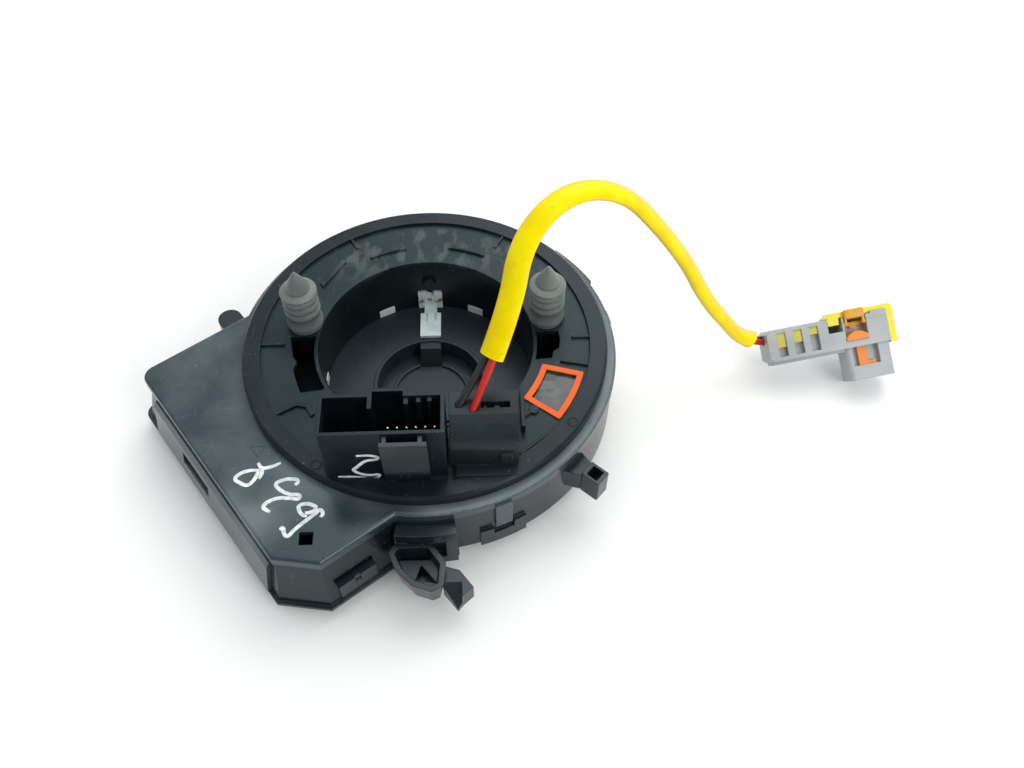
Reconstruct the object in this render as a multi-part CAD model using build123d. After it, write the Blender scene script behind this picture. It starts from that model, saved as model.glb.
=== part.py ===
from build123d import *
from math import acos, cos, degrees, pi, radians, sin, sqrt, tan
import os

# Steering clock spring. Millimetres, +Z towards the driver.
# The origin is on the steering axis, at the back face of the fixed housing.
# +X runs through the right drive pin, and the header faces -Y.

# ---- clearances ----
RUNNING_GAP = 0.3        # between the turning rotor and the fixed housing
SPINDLE_FIT = 0.08       # radial play of a magnet gear on its post
WIRE_PLAY = 0.2          # between a wire and the sleeve round it

# ---- rings that the rotor, the cover and the housing's wall share ----
COVER_HOLE_R = 46.5
ROTOR_R = COVER_HOLE_R + 3.5     # the rotor's rim hides the cover's hole
COVER_R = COVER_HOLE_R + 6.1
WALL_R = COVER_R - 0.3           # the cover stands out past the wall

# ---- fixed housing, round part ----
WALL_T = 1.8
FLOOR_T = 1.2
SHELL_TOP = 16.5
FOOT_DROP = 4.5          # the feet stand this far under the back face
LEDGE_W = 1.0
LEDGE_T = 0.9

# ---- fixed housing, box for the angle sensor, in a frame turned to BOX_AZ ----
BOX_AZ = 216.0
BOX_REACH = 66.6         # left face of the cover plate from the steering axis
BOX_NEAR = 38.0
BOX_FAR = 40.8
BOX_CHAMFER = 8.6
BOX_CORNER_R = 3.5
BOX_FLARE = 2.4          # the shell's foot stands out past the cover plate
BOX_TUCK = 0.9           # the shell's top is set in under the plate's lip
BOX_WALL = 1.6
FLANGE_T = 1.1
FLANGE_W = 0.7

# ---- cover ----
COVER_TOP = 19.7
COVER_PLATE_T = 1.7
COVER_SKIRT_T = 1.4
COVER_ROUND = 0.9        # round along the plate's top edge
WINDOW_SIDE = 3.4        # square inspection hole
WINDOW_AT = (-28.5, -57.9)
BOSS_AT = (36.2, -BOX_FAR - 8.6)  # screw boss on the far side, box frame
BOSS_R = 3.4
BOSS_Z = (3.0, 12.0)
BOSS_HOLE_R = 1.4
BOSS_CAP = 2.0           # the screw hole is blind, open downwards

# ---- rotor ----
RIM_TOP = 23.0
RIM_IN_R = ROTOR_R - 4.9
DISC_TOP = 22.1
BORE_R = 29.7
BORE_WALL = 1.5
DRUM_R = 40.0
DRUM_WALL = 1.5
DRUM_LOW = 7.8
HUB_WEB_T = 1.2
SKIRT_T = 1.2
SKIRT_LOW = 18.4
RIM_ROUND = 0.6
RIDGE_H = 0.7            # ridges on the rotor's floor
RIDGE_W = 0.7
RIDGES = ((180, 38.6), (0, 40.2), (-12.5, 37.5), (120, 41.0), (60, 40.0))
POCKET_WALL = 0.9
FENCE_X = (24.9, 25.9)
FENCE_Y = (-31.0, -18.5)
FENCE_H = 3.3
LEFT_POCKET = (
    (-27.0, 2.9), (-37.3, 2.9), (-36.1, -4.1), (-34.9, -5.8), (-35.7, -8.2),
    (-34.9, -11.2), (-33.1, -16.2), (-27.4, -15.4), (-24.0, -12.5),
)
RIGHT_POCKET = ((27.0, 2.8), (36.6, 2.6), (37.0, 0.1), (36.5, -3.4), (34.8, -4.4), (34.4, -6.8), (27.0, -7.3))
LEFT_RIDGE = (
    (-39.0, -22.6), (-33.6, -19.6), (-30.6, -20.4), (-28.6, -23.6),
    (-29.6, -24.2), (-31.2, -21.4), (-33.5, -20.7), (-38.5, -23.5),
)
REAR_RIDGE = ((-29.6, 20.6), (-30.6, 22.0), (-24.8, 31.0), (-23.6, 30.2))
RIGHT_RIDGE = ((24.1, -37.2), (24.5, -37.8), (33.4, -30.6), (33.0, -30.0))
STUD_AT = (28.5, -24.0)
STUD_R = 1.3
STUD_RIDGE = ((25.2, -26.2), (25.5, -26.8), (28.6, -24.4), (28.3, -23.8))
BORE_BOSS_R = 1.9        # round boss on the bore's wall, above the dog
BORE_BOSS_Z = 13.5
BORE_BOSS_OUT = 0.9

# ---- keyed hub ring at the foot of the bore ----
HUB_FLANGE_T = 1.1
HUB_SLEEVE_R = 19.3
HUB_BORE_R = 15.3
HUB_LOW = -4.0
HUB_LIP = (1.0, 0.5)     # width and height of the lip round the hole
SNAP_LIP_W = 1.6
SNAP_LIP_T = 1.4
KEY_W = 6.2
KEY_REACH = 2.5
KEY_SLOPE = 2.6
PLUG_T = 1.1
PLUG_DISH_IN = 1.6
PLUG_DISH = 0.3
PLUG_RIDGE = (10.4, 11.3, 0.8)

# ---- drive pins ----
PIN_X = 33.6
PIN_Y = 8.05
PIN_R = 5.15
PIN_SKIRT_H = 5.7
PIN_RIB_H = 2.63
PIN_RIB_COUNT = 3
PIN_SHOULDER_H = 3.3
PIN_GROOVE = 0.9
PIN_CONE_R = 3.6
PIN_HEIGHT = 20.3
# share of each part's height, and share of the groove's depth or of the cone's radius
PIN_RIB = ((0.12, 0.45), (0.34, 0.0), (0.62, 0.05), (0.86, 0.6), (1.0, 1.0))
PIN_SHOULDER = ((0.1, 0.45), (0.28, 0.0), (0.55, 0.0), (0.8, 0.45), (0.95, 1.15), (1.0, 1.8))
PIN_CONE = ((0.06, 1.0), (0.86, 0.16), (0.96, 0.08))

# ---- header for the steering wheel's loom ----
HEADER_X = (-24.2, 6.0)
HEADER_Y = (-43.2, -31.4)
HEADER_TOP = 42.1
HEADER_WALL = 1.0
HEADER_FLOOR_T = 2.4
HEADER_STEP_X = (-11.4, -4.0)
HEADER_STEP = 1.5
HEADER_FIN_X = (-12.5, -11.4)
HEADER_FIN_REACH = 4.4
HEADER_RIBS = ((-3.3, 2.4), (-0.3, 2.0), (2.35, 1.8))
HEADER_RIB_W = 1.1
HEADER_RIB_DROP = 0.6
HEADER_CORNER_R = 0.8
LATCH_X = (-9.4, 1.8)    # tongue in front of the header, rising from the rotor's floor
LATCH_OUT = 3.0          # its top edge stands this far out from the wall
LATCH_T = 1.2
LATCH_DROP = 0.8
LATCH_ROOT_H = 4.0
LATCH_STRUT_X = (-8.2, 0.2)
LATCH_STRUT_W = 1.0
LATCH_STRUT_H = 2.6
TERMINAL_COUNT = 6
TERMINAL_PITCH = 2.27
TERMINAL_FIRST_X = -8.0
TERMINAL_SIDE = 0.64
TERMINAL_IN = 6.0        # from the header's front face
TERMINAL_H = 11.4
TERMINAL_POINT = 0.16

# ---- block that the squib wires leave from ----
BLOCK_X = (6.8, 23.8)
BLOCK_BACK_Y = -27.5
BLOCK_EDGE_Y = -34.5
BLOCK_TOP = 36.6
BLOCK_SPLIT_Y = -36.0
BLOCK_FOOT_Y = -44.0
BLOCK_FOOT_T = 1.2
BLOCK_LIP = 0.5          # the block's edge falls this much to the cap
BLOCK_SLOT_X = (14.6, 21.8)
BLOCK_SLOT_Y = (-32.7, -30.9)
BLOCK_SLOT_DEPTH = 5.0
CAP_SHOULDER = ((2.9, 1.9), (4.7, 7.0))    # two points of its arc: out from the block, and down
CAP_LATCH_W = 3.0
CAP_LATCH_Z = (3.0, 6.5)
CAP_LATCH_OUT = 0.7

# ---- orange window frame on the rotor ----
FRAME_R = (32.8, 44.3)
FRAME_AZ = (-38.0, -16.0)
FRAME_W = 1.6
FRAME_H = 0.5
FRAME_ROUND = 0.5
LENS_DROP = 0.5
LENS_T = 0.8

# ---- angle sensor ----
MODULE = 1.0
RING_TEETH = 78
PINION_TEETH = (20, 18)
PINION_SPREAD = 14.0     # each magnet gear stands this far round from BOX_AZ
BACKLASH = 0.16
PRESSURE_ANGLE = 20.0
GEAR_LOW = 2.0
GEAR_T = 3.0
POST_R = 2.0
MAGNET_R = 3.2
MAGNET_T = 1.1
SENSE_GAP = 0.3
CHIP_T = 0.6
CHIP_SIDE = 6.0
BOARD_T = 1.2
BOARD_IN = 42.5
BOARD_OUT = BOX_REACH - 8.0
BOARD_HALF = 22.0
TRAY_LOW = 7.6
TRAY_T = 1.0
TAB_AZ = (4.0, 62.5, 116.5, 177.0)
TAB_W = (3.0, 5.0, 5.0, 3.0)
TAB_TOP = 5.4
DOG_X = 3.65
DOG_TOP = 9.0
DOG_NOTCH_R = 1.2
DOG_T = 1.4
DOG_FOOT_X = 3.1
DOG_FOOT_Y = (17.0, 26.0)
DOG_FOOT_T = 1.0

# ---- socket for the column's loom, mouth downwards ----
SOCKET_N = (BOX_REACH - 6.3, BOX_REACH - 1.4)
SOCKET_T = (-22.0, 20.0)
SOCKET_DEPTH = 9.5
SOCKET_WALL = 1.0
COLUMN_PINS = 12
COLUMN_PITCH = 3.0
COLUMN_PIN_SIDE = 0.64

# ---- flat cable ----
RIBBON_TURNS = 4
RIBBON_T = 0.4
RIBBON_IN_R = 40.75
RIBBON_PITCH = 2.2
RIBBON_PLAY = 0.4

# ---- snap straps round the wall ----
STRAP_AZ = (-68.0, 12.0, 92.0, 152.0)
STRAP_SPAN = 14.0
STRAP_OUT = 0.9
STRAP_H = 7.0
TONGUE_SPAN = 5.0
TONGUE_LOW = 7.6

# ---- squib lead: control points of its centre line ----
SLEEVE_R = 2.6
SLEEVE_WALL = 0.45
WIRE_R = 0.95
WIRE_OFFSET = 1.0        # each wire lies this far from the sleeve's middle
WIRE_SEAT = 2.2          # a wire's end is held this deep in the block and the plug
WIRE_BEND = 0.3          # share of the plug's own direction in the wires' last run
SLEEVE_BARE = 2.8        # the sleeve ends this far before the wires' last turn
LEAD_ROUTE = [
    (17.6, -24.6, 46.6),
    (22.4, -17.8, 57.5),
    (24.6, -12.0, 70.2),
    (31.0, -5.8, 76.8),
    (40.3, 0.1, 77.4),
    (51.3, 4.5, 70.7),
    (60.9, 5.8, 58.0),
    (70.0, 6.5, 44.2),
    (77.1, 5.9, 30.3),
    (85.3, 6.8, 18.6),
    (90.8, 7.7, 10.6),
    (97.0, 9.5, 6.4),
]
WIRE_EXITS = {"wire_red": (12.9, -32.6, 36.6), "wire_black": (9.6, -31.2, 36.6)}
SLEEVE_SIDE = {"wire_red": 1, "wire_black": -1}

# ---- squib plug, in its own frame: X along the body, Y away from the nose ----
PLUG_AT = (99.3, 5.0, 8.8)
PLUG_X = (0.986, 0.113, 0.120)
PLUG_FACE = (-0.031, -0.587, 0.809)
PLUG_LEN = 35.8
PLUG_H = 9.4
PLUG_THICK = 9.6
PLUG_WALL = 1.3
NOSE_X = (22.4, 35.6)
NOSE_LEN = 9.7
NOSE_THICK = 8.8
CONTACT_R = 1.1
CONTACT_PITCH = 5.0
CONTACT_DEPTH = 6.0
PLUG_SLOT_X = (2.9, 7.8, 12.6)
PLUG_SLOT_W = 2.6
PLUG_SLOT_H = 7.0
PLUG_SLOT_DEPTH = 1.6
INSERT_H = (4.3, 3.6, 2.2)
RECESS_X = (23.0, 29.6)
RECESS_LOW = -2.6
RECESS_DEPTH = 3.4
NOSE_WINDOW_X = (23.9, 31.8)
NOSE_WINDOW_H = 5.6
STEM_X = (25.7, 28.3)
STEM_T = 1.2
BUTTON_H = 2.5
CPA_T = 1.5
CPA_X = (18.6, 38.1)
CPA_LEG_W = 2.0
CPA_LEG_LOW = -5.2
CPA_HOOK_W = 3.4
CPA_HOOK_LOW = 2.6
CPA_LIFT = 1.8           # travel left under the lock while the plug is off
CPA_SEAT = 0.05          # the lock's bar stands this far over the body's back wall
CPA_CORNER = 1.2
CLIP_T = 1.4
CLIP_FRONT_T = 0.7
CLIP_RISE = 1.5
CPA_THICK = 6.4

# ---- side panel over the sensor box ----
PANEL_T = (-34.0, 27.0)
PANEL_Z = (0.6, 14.0)
PANEL_THICK = 1.3
PANEL_SLOT_T = (-17.7, -3.6)
PANEL_SLOT_Z = (5.6, 9.8)

# ---- lugs ----
RIGHT_LUG_AZ = -42.0
RIGHT_LUG_R = WALL_R + 6.6
RIGHT_LUG = (5.6, 4.6)
RIGHT_LUG_Z = (7.0, 15.0)
LUG_POCKET = 3.2
LUG_POCKET_DEPTH = 4.0
LUG_NECK = 4.4

# front lug: X, and the distance in front of the housing's wall
EYE_RIM = (
    (-9.5, 6.3), (-7.7, 3.7), (1.2, 3.7), (5.0, 9.2),
    (4.4, 15.9), (1.3, 17.1), (-3.5, 15.3), (-7.4, 11.3),
)
EYE_ROUND = 1.2
EYE_TOP = 12.0
EYE_LOW = 3.6
EYE_WALL = 1.5
EYE_TAPER = 9.0
EYE_LEDGE = 3.2
EYE_LEDGE_FRONT = 7.0
EYE_HOLE = ((-1.4, 8.4), (2.6, 13.4), (-2.8, 12.4))
EYE_ARM_X = (-7.2, 0.6)
EYE_ARM_OUT = (2.7, 5.2)
BRACKET_AZ = (-98.0, -82.0)
BRACKET_OUT = 4.1
BRACKET_WINDOW = 3.0     # wall left round the bracket's window, in degrees and millimetres
HOOK = ((4.2, 8.7), (8.2, 10.0), (11.6, 14.6), (9.2, 16.7), (7.6, 18.5), (4.1, 13.9))
HOOK_Z = (2.8, 8.6)
HOOK_STEP_X = 8.7        # left of here the hook's top slopes down to its tip
HOOK_SLOPE_FROM = 13.2
REAR_TAB_AZ = (28.0, 45.0)
REAR_TAB_OUT = 2.5
REAR_TAB_Z = (13.6, 16.5)
REAR_TAB_LEG = (3.0, 6.0)
REAR_TAB_LEG_H = 4.0
FEET_AZ = (-84.0, 48.0, 132.0)
FOOT_W = 4.8
FOOT_T = 1.7
BOX_FOOT_N = BOX_REACH + 0.3
BOX_FOOT_T = (27.5, -32.0)
BOX_LATCH_N = (BOX_REACH - 21.4, BOX_REACH - 10.5)
BOX_LATCH_Z = (7.8, 9.2)
BOX_LATCH_OUT = 2.6
BOX_LATCH_NOTCH = (0.8, 2.4)

CREASE = 0.4             # small outside edge round
CUT = 1.0                # how far a cutting tool runs past the wall it opens


# ---- helpers ----
def tube(outer, inner, low, high):
    return Pos(0, 0, low) * extrude(Circle(outer) - Circle(inner), high - low)


def cylinder(radius, low, high, at=(0, 0)):
    return Pos(at[0], at[1], low) * extrude(Circle(radius), high - low)


def block(x_span, y_span, z_span):
    """A box between two values along each axis."""
    size = [b - a for a, b in (x_span, y_span, z_span)]
    middle = [(a + b) / 2 for a, b in (x_span, y_span, z_span)]
    return Pos(*middle) * Box(*size)


def prism(points, low, high):
    return Pos(0, 0, low) * extrude(Polygon(*points, align=None), high - low, dir=(0, 0, 1))


def sector(outer, inner, low, high, start, end):
    """A stretch of ring between two azimuths."""
    middle = ((outer + inner) / 2, (low + high) / 2)
    section = Plane.XZ * Pos(*middle) * Rectangle(outer - inner, high - low)
    return Rot(0, 0, start) * revolve(section, Axis.Z, end - start)


def turned(points, at=(0, 0)):
    """A solid turned about an upright axis from its half profile of (radius, z)."""
    return Pos(at[0], at[1], 0) * revolve(Plane.XZ * Polygon(*points, align=None), Axis.Z)


def polar(radius, azimuth):
    return (radius * cos(radians(azimuth)), radius * sin(radians(azimuth)))


def boxed(shape):
    """Turn a shape from the sensor box's frame into the part's."""
    return Rot(0, 0, BOX_AZ) * shape


def write(name, shape):
    shape.label = name
    export_step(shape, f"parts/{name}.step")


# ---- fixed housing ----
def box_outline(grow):
    """The sensor box in plan, with its inner end hidden in the round part."""
    reach = BOX_REACH + grow
    near = BOX_NEAR + grow
    far = BOX_FAR + grow
    cut = BOX_CHAMFER + grow * tan(radians(22.5))
    outline = Polygon((0, -far), (reach, -far), (reach, near - cut), (reach - cut, near), (0, near), align=None)
    corner = outline.vertices().sort_by_distance((reach, -far, 0))[0]
    return fillet(corner, BOX_CORNER_R)


def box_body(inset, low, high):
    """The flared box: wide at its foot, tucked in under the cover's lip."""
    def at_height(z):
        share = z / SHELL_TOP
        return Pos(0, 0, z) * box_outline(BOX_FLARE * (1 - share) - BOX_TUCK * share - inset)
    return boxed(loft([at_height(low), at_height(high)], ruled=True))


def snap_strap(azimuth):
    half = STRAP_SPAN / 2
    strap = sector(WALL_R + STRAP_OUT, WALL_R, 0, STRAP_H, azimuth - half, azimuth + half)
    gap = TONGUE_SPAN / 2 + 0.6
    return strap - sector(WALL_R + 2 * STRAP_OUT, WALL_R, STRAP_H - 2.4, STRAP_H, azimuth - gap, azimuth + gap)


def foot(radius, azimuth):
    pad = block((radius - FOOT_T, radius), (-FOOT_W / 2, FOOT_W / 2), (-FOOT_DROP, FLOOR_T))
    return Rot(0, 0, azimuth) * pad


def right_lug():
    size_r, size_t = RIGHT_LUG
    low, high = RIGHT_LUG_Z
    head = Pos(RIGHT_LUG_R, 0, (low + high) / 2) * Box(size_r, size_t, high - low)
    head = fillet(head.edges().filter_by(Axis.Z), CREASE)
    pocket = block(
        (RIGHT_LUG_R - LUG_POCKET / 2, RIGHT_LUG_R + LUG_POCKET / 2),
        (-LUG_POCKET / 2, LUG_POCKET / 2),
        (high - LUG_POCKET_DEPTH, high),
    )
    root = WALL_R - WALL_T / 2
    tip = RIGHT_LUG_R - size_r / 2
    neck = prism([(root, -LUG_NECK), (tip, -size_t / 2), (tip, size_t / 2), (root, LUG_NECK * 0.8)], low, high - 1)
    return Rot(0, 0, RIGHT_LUG_AZ) * (head - pocket + neck)


def ahead(points):
    """Points given by their distance in front of the housing's wall."""
    return [(x, -WALL_R - out) for x, out in points]


def eye_funnel():
    """Tapered clip eye, with a ledge that has a three-cornered hole."""
    rim = Polygon(*ahead(EYE_RIM), align=None)
    rim = fillet(rim.vertices(), EYE_ROUND)
    height = EYE_TOP - EYE_LOW
    outer = Pos(0, 0, EYE_TOP) * extrude(rim, height, dir=(0, 0, -1), taper=EYE_TAPER)
    mouth = offset(rim, -EYE_WALL, kind=Kind.INTERSECTION)
    deep = Pos(0, 0, EYE_TOP) * extrude(mouth, height - EYE_WALL, dir=(0, 0, -1), taper=EYE_TAPER)
    ledge_y = -WALL_R - EYE_LEDGE_FRONT
    reach = max(out for x, out in EYE_RIM)
    width = max(abs(x) for x, out in EYE_RIM)
    ledge = block((-width, width), (-WALL_R - reach, ledge_y), (EYE_LOW, EYE_TOP - EYE_LEDGE))
    ledge -= prism(ahead(EYE_HOLE), EYE_LOW, EYE_TOP)
    arm_y = (-WALL_R - EYE_ARM_OUT[1], -WALL_R - EYE_ARM_OUT[0])
    arm = block(EYE_ARM_X, arm_y, (EYE_LOW + CUT, EYE_TOP))
    return outer - (deep - ledge) + (arm - deep)


def eye_bracket():
    """Open bracket that carries the eye on the housing's wall."""
    start, end = BRACKET_AZ
    inner = WALL_R - WALL_T / 2
    bracket = sector(WALL_R + BRACKET_OUT, inner, CUT, SHELL_TOP - CUT, start, end)
    window = sector(
        WALL_R + BRACKET_OUT + CUT,
        WALL_R + BRACKET_OUT / 2,
        BRACKET_WINDOW + CUT,
        SHELL_TOP - BRACKET_WINDOW - CUT,
        start + BRACKET_WINDOW,
        end - BRACKET_WINDOW,
    )
    return bracket - window


def eye_hook():
    """Barbed hook beside the eye, its left half sloping down to the tip."""
    low, high = HOOK_Z
    hook = prism(ahead(HOOK), low, high)
    start_y = -WALL_R - HOOK_SLOPE_FROM
    tip_y = -WALL_R - max(out for x, out in HOOK)
    slope = Polygon((start_y, high), (tip_y - CUT, low + CREASE), (tip_y - CUT, high + CUT), (start_y, high + CUT), align=None)
    return hook - extrude(Plane.YZ * slope, HOOK_STEP_X, dir=(1, 0, 0))


def rear_tab():
    start, end = REAR_TAB_AZ
    low, high = REAR_TAB_Z
    inner = WALL_R - WALL_T / 2
    outer = WALL_R + REAR_TAB_OUT
    tab = sector(outer, inner, low, high, start, end)
    leg_start, leg_end = REAR_TAB_LEG
    return tab + sector(outer - CUT, inner, low - REAR_TAB_LEG_H, low, start + leg_start, start + leg_end)


def column_socket():
    """Walls of the downward socket for the loom of the steering column."""
    n0, n1 = SOCKET_N
    t0, t1 = SOCKET_T
    wall = SOCKET_WALL
    shell = block((n0 - wall, n1 + wall), (t0 - wall, t1 + wall), (0, SOCKET_DEPTH + wall))
    return boxed(shell)


def column_socket_hollow():
    hollow = block(SOCKET_N, SOCKET_T, (-1, SOCKET_DEPTH))
    key = block((SOCKET_N[0] - 0.01, SOCKET_N[0] + 0.8), (-2.0, 2.0), (0, SOCKET_DEPTH))
    return boxed(hollow - key)


def magnet_centres():
    spread = (-PINION_SPREAD, PINION_SPREAD)
    return [polar(MODULE * (RING_TEETH + n) / 2, BOX_AZ + s) for n, s in zip(PINION_TEETH, spread)]


def column_pin_shafts(grow):
    """Square pins in the socket, each bent over its wall and down to the board."""
    side = COLUMN_PIN_SIDE + grow
    middle = sum(SOCKET_N) / 2
    roof = SOCKET_DEPTH + SOCKET_WALL
    foot_n = BOARD_OUT - 1.6
    board_top = GEAR_LOW + GEAR_T + SENSE_GAP + CHIP_T + BOARD_T
    centre = sum(SOCKET_T) / 2
    pins = []
    for i in range(COLUMN_PINS):
        t = centre + (i - (COLUMN_PINS - 1) / 2) * COLUMN_PITCH
        across = (t - side / 2, t + side / 2)
        tip = block((middle - side / 2, middle + side / 2), across, (1.8, roof + side))
        bridge = block((foot_n, middle + side / 2), across, (roof, roof + side))
        leg = block((foot_n, foot_n + side), across, (board_top, roof + side))
        pins.append(tip + bridge + leg)
    return boxed(Compound(children=[p.solid() for p in pins]))


def screw_boss():
    x, y = BOSS_AT
    web = block((x - BOSS_R, x + BOSS_R), (y, -BOX_FAR + CUT), BOSS_Z)
    return boxed(cylinder(BOSS_R, *BOSS_Z, BOSS_AT) + web)


def base_shell():
    shell = cylinder(WALL_R, 0, SHELL_TOP) + box_body(0, 0, SHELL_TOP)
    inside_r = WALL_R - WALL_T
    hollow = cylinder(inside_r, FLOOR_T, SHELL_TOP) + box_body(BOX_WALL, FLOOR_T, SHELL_TOP)
    shell -= hollow
    reach = boxed(Pos(0, 0, 0) * extrude(box_outline(BOX_FLARE + FLANGE_W), FLANGE_T)) - cylinder(inside_r, -1, FLANGE_T + 1)
    shell += reach - hollow
    shell += column_socket()
    shell -= column_socket_hollow()
    shell -= column_pin_shafts(0)
    ledge = sector(inside_r, inside_r - LEDGE_W, TRAY_LOW - LEDGE_T, TRAY_LOW, BOX_AZ - 360 + 62, BOX_AZ - 62)
    shell += ledge
    for centre in magnet_centres():
        shell += cylinder(POST_R + 1.2, 0, GEAR_LOW - RUNNING_GAP, centre)
        shell += cylinder(POST_R, 0, GEAR_LOW + GEAR_T - MAGNET_T - 0.5, centre)
    for azimuth in STRAP_AZ:
        shell += snap_strap(azimuth)
    for azimuth in FEET_AZ:
        shell += foot(WALL_R, azimuth)
    for t in BOX_FOOT_T:
        shell += boxed(block((BOX_FOOT_N - FOOT_T, BOX_FOOT_N), (t - FOOT_W / 2, t + FOOT_W / 2), (-FOOT_DROP, FLOOR_T)))
    n0, n1 = BOX_LATCH_N
    z0, z1 = BOX_LATCH_Z
    outside = BOX_NEAR + BOX_LATCH_OUT
    strap = block((n0, n1), (BOX_NEAR - BOX_WALL, outside), (CUT, z0))
    notch_w, notch_h = BOX_LATCH_NOTCH
    middle = (n0 + n1) / 2
    strap -= block((middle - notch_w, middle + notch_w), (outside - CREASE, outside + CUT), (z0 - notch_h, z0 + CUT))
    shell += boxed(strap) - box_body(BOX_WALL, FLOOR_T, SHELL_TOP)
    shell -= boxed(block((n0, n1), (BOX_NEAR - 2 * BOX_WALL, outside + CUT), (z0, z1)))
    shell += screw_boss() - box_body(BOX_WALL, FLOOR_T, SHELL_TOP) - cylinder(inside_r, FLOOR_T, SHELL_TOP)
    shell -= boxed(cylinder(BOSS_HOLE_R, BOSS_Z[0] - CUT, BOSS_Z[1] - BOSS_CAP, BOSS_AT))
    shell += right_lug()
    shell += eye_funnel()
    shell += eye_bracket()
    shell += eye_hook()
    shell += rear_tab()
    shell -= cylinder(HUB_SLEEVE_R + RUNNING_GAP, -1, FLOOR_T + 1)
    return shell


def cover_outline(grow):
    return Circle(COVER_R + grow) + boxed(box_outline(grow))


def top_cover():
    plate_low = COVER_TOP - COVER_PLATE_T
    plate = Pos(0, 0, plate_low) * extrude(cover_outline(0), COVER_PLATE_T)
    top_edge = plate.edges().group_by(Axis.Z)[-1]
    plate = fillet(top_edge, COVER_ROUND)
    skirt = cover_outline(0) - offset(cover_outline(0), -COVER_SKIRT_T)
    cover = plate + Pos(0, 0, SHELL_TOP) * extrude(skirt, plate_low - SHELL_TOP)
    cover -= cylinder(COVER_HOLE_R, SHELL_TOP, COVER_TOP + 1)
    half = WINDOW_SIDE / 2
    x, y = WINDOW_AT
    cover -= block((x - half, x + half), (y - half, y + half), (SHELL_TOP, COVER_TOP + CUT))
    for azimuth in STRAP_AZ:
        half = TONGUE_SPAN / 2
        tongue = sector(WALL_R + STRAP_OUT, WALL_R + 0.02, TONGUE_LOW, SHELL_TOP, azimuth - half, azimuth + half)
        root = sector(WALL_R + STRAP_OUT, COVER_R - 0.4, SHELL_TOP, SHELL_TOP + 1.2, azimuth - half, azimuth + half)
        cover += tongue + root
    return cover


def side_panel():
    """Slotted panel that follows the flare of the box's left wall."""
    t0, t1 = PANEL_T
    z0, z1 = PANEL_Z

    def wall_n(z):
        return BOX_REACH + BOX_FLARE - (BOX_FLARE + BOX_TUCK) * z / SHELL_TOP
    low = max(z0, FLANGE_T)
    points = [
        (wall_n(low), low),
        (wall_n(low) + PANEL_THICK - 0.2, low),
        (wall_n(z1 - 2) + PANEL_THICK, z1 - 2),
        (wall_n(z1) + PANEL_THICK - 0.6, z1),
        (wall_n(z1), z1),
    ]
    panel = Pos(0, t1, 0) * extrude(Plane.XZ * Polygon(*points, align=None), t1 - t0, dir=(0, -1, 0))
    reach = BOX_REACH + BOX_FLARE + PANEL_THICK
    panel -= block((BOX_REACH - 4, reach + 1), PANEL_SLOT_T, PANEL_SLOT_Z)
    return boxed(panel)


def ribbon_guide():
    """Tray under the flat cable, with the wall that closes the round part off from the box."""
    inside_r = WALL_R - WALL_T
    top = TRAY_LOW + TRAY_T
    tray = tube(inside_r - 0.1, DRUM_R + RUNNING_GAP + 0.1, TRAY_LOW, top)
    spread = 52.0
    wall = sector(inside_r + 1.2, inside_r - 0.1, TRAY_LOW, SHELL_TOP - 0.2, BOX_AZ - spread, BOX_AZ + spread)
    return tray + wall - box_wall_keepout()


def box_wall_keepout():
    """Room for the shell's own round wall beyond the mouth of the box."""
    solid_wall = cylinder(WALL_R + 2, 0, SHELL_TOP) - cylinder(WALL_R - WALL_T, 0, SHELL_TOP)
    return solid_wall - box_body(BOX_WALL + 0.1, 0, SHELL_TOP)


def sensor_board():
    low = GEAR_LOW + GEAR_T + SENSE_GAP + CHIP_T
    board = boxed(block((BOARD_IN, BOARD_OUT), (-BOARD_HALF, BOARD_HALF), (low, low + BOARD_T)))
    board = board & cylinder(BOARD_OUT + 6, low - 1, low + BOARD_T + 1)
    return board - cylinder(DRUM_R + RUNNING_GAP + 0.7, low - 1, low + BOARD_T + 1)


def sensor_chips():
    low = GEAR_LOW + GEAR_T + SENSE_GAP
    chips = []
    for x, y in magnet_centres():
        chip = Pos(x, y, low + CHIP_T / 2) * Rot(0, 0, BOX_AZ) * Box(CHIP_SIDE, CHIP_SIDE, CHIP_T)
        chips.append(chip.solid())
    return Compound(children=chips)


# ---- gears of the angle sensor ----
def gear_outline(teeth, phase):
    """Involute spur gear in plan, with a tooth's middle at the azimuth phase."""
    pitch_r = MODULE * teeth / 2
    base_r = pitch_r * cos(radians(PRESSURE_ANGLE))
    tip_r = pitch_r + 0.9 * MODULE
    root_r = pitch_r - 1.2 * MODULE
    roll = tan(radians(PRESSURE_ANGLE)) - radians(PRESSURE_ANGLE)
    half_pitch = pi / (2 * teeth) - BACKLASH / (2 * pitch_r)

    def half_angle(radius):
        if radius <= base_r:
            return half_pitch + roll
        alpha = acos(base_r / radius)
        return half_pitch + roll - (tan(alpha) - alpha)
    foot_r = max(root_r, min(base_r, pitch_r - MODULE))
    flank = [root_r, foot_r + 0.01, pitch_r - 0.35 * MODULE, pitch_r + 0.3 * MODULE, tip_r]
    points = []
    for i in range(teeth):
        middle = radians(phase) + 2 * pi * i / teeth
        for radius in flank:
            points.append((radius, middle - half_angle(radius)))
        for radius in reversed(flank):
            points.append((radius, middle + half_angle(radius)))
    return Polygon(*[(r * cos(a), r * sin(a)) for r, a in points], align=None)


def sensor_gear():
    """White ring gear round the foot of the bore, its drive tabs reaching into the bore."""
    outer = Pos(0, 0, GEAR_LOW) * extrude(gear_outline(RING_TEETH, 0), GEAR_T, dir=(0, 0, 1))
    ring = outer - cylinder(BORE_R + BORE_WALL, 0, GEAR_LOW + GEAR_T + 1)
    for azimuth, width in zip(TAB_AZ, TAB_W):
        ring += tab_block(azimuth, width, 0)
    return ring


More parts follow.
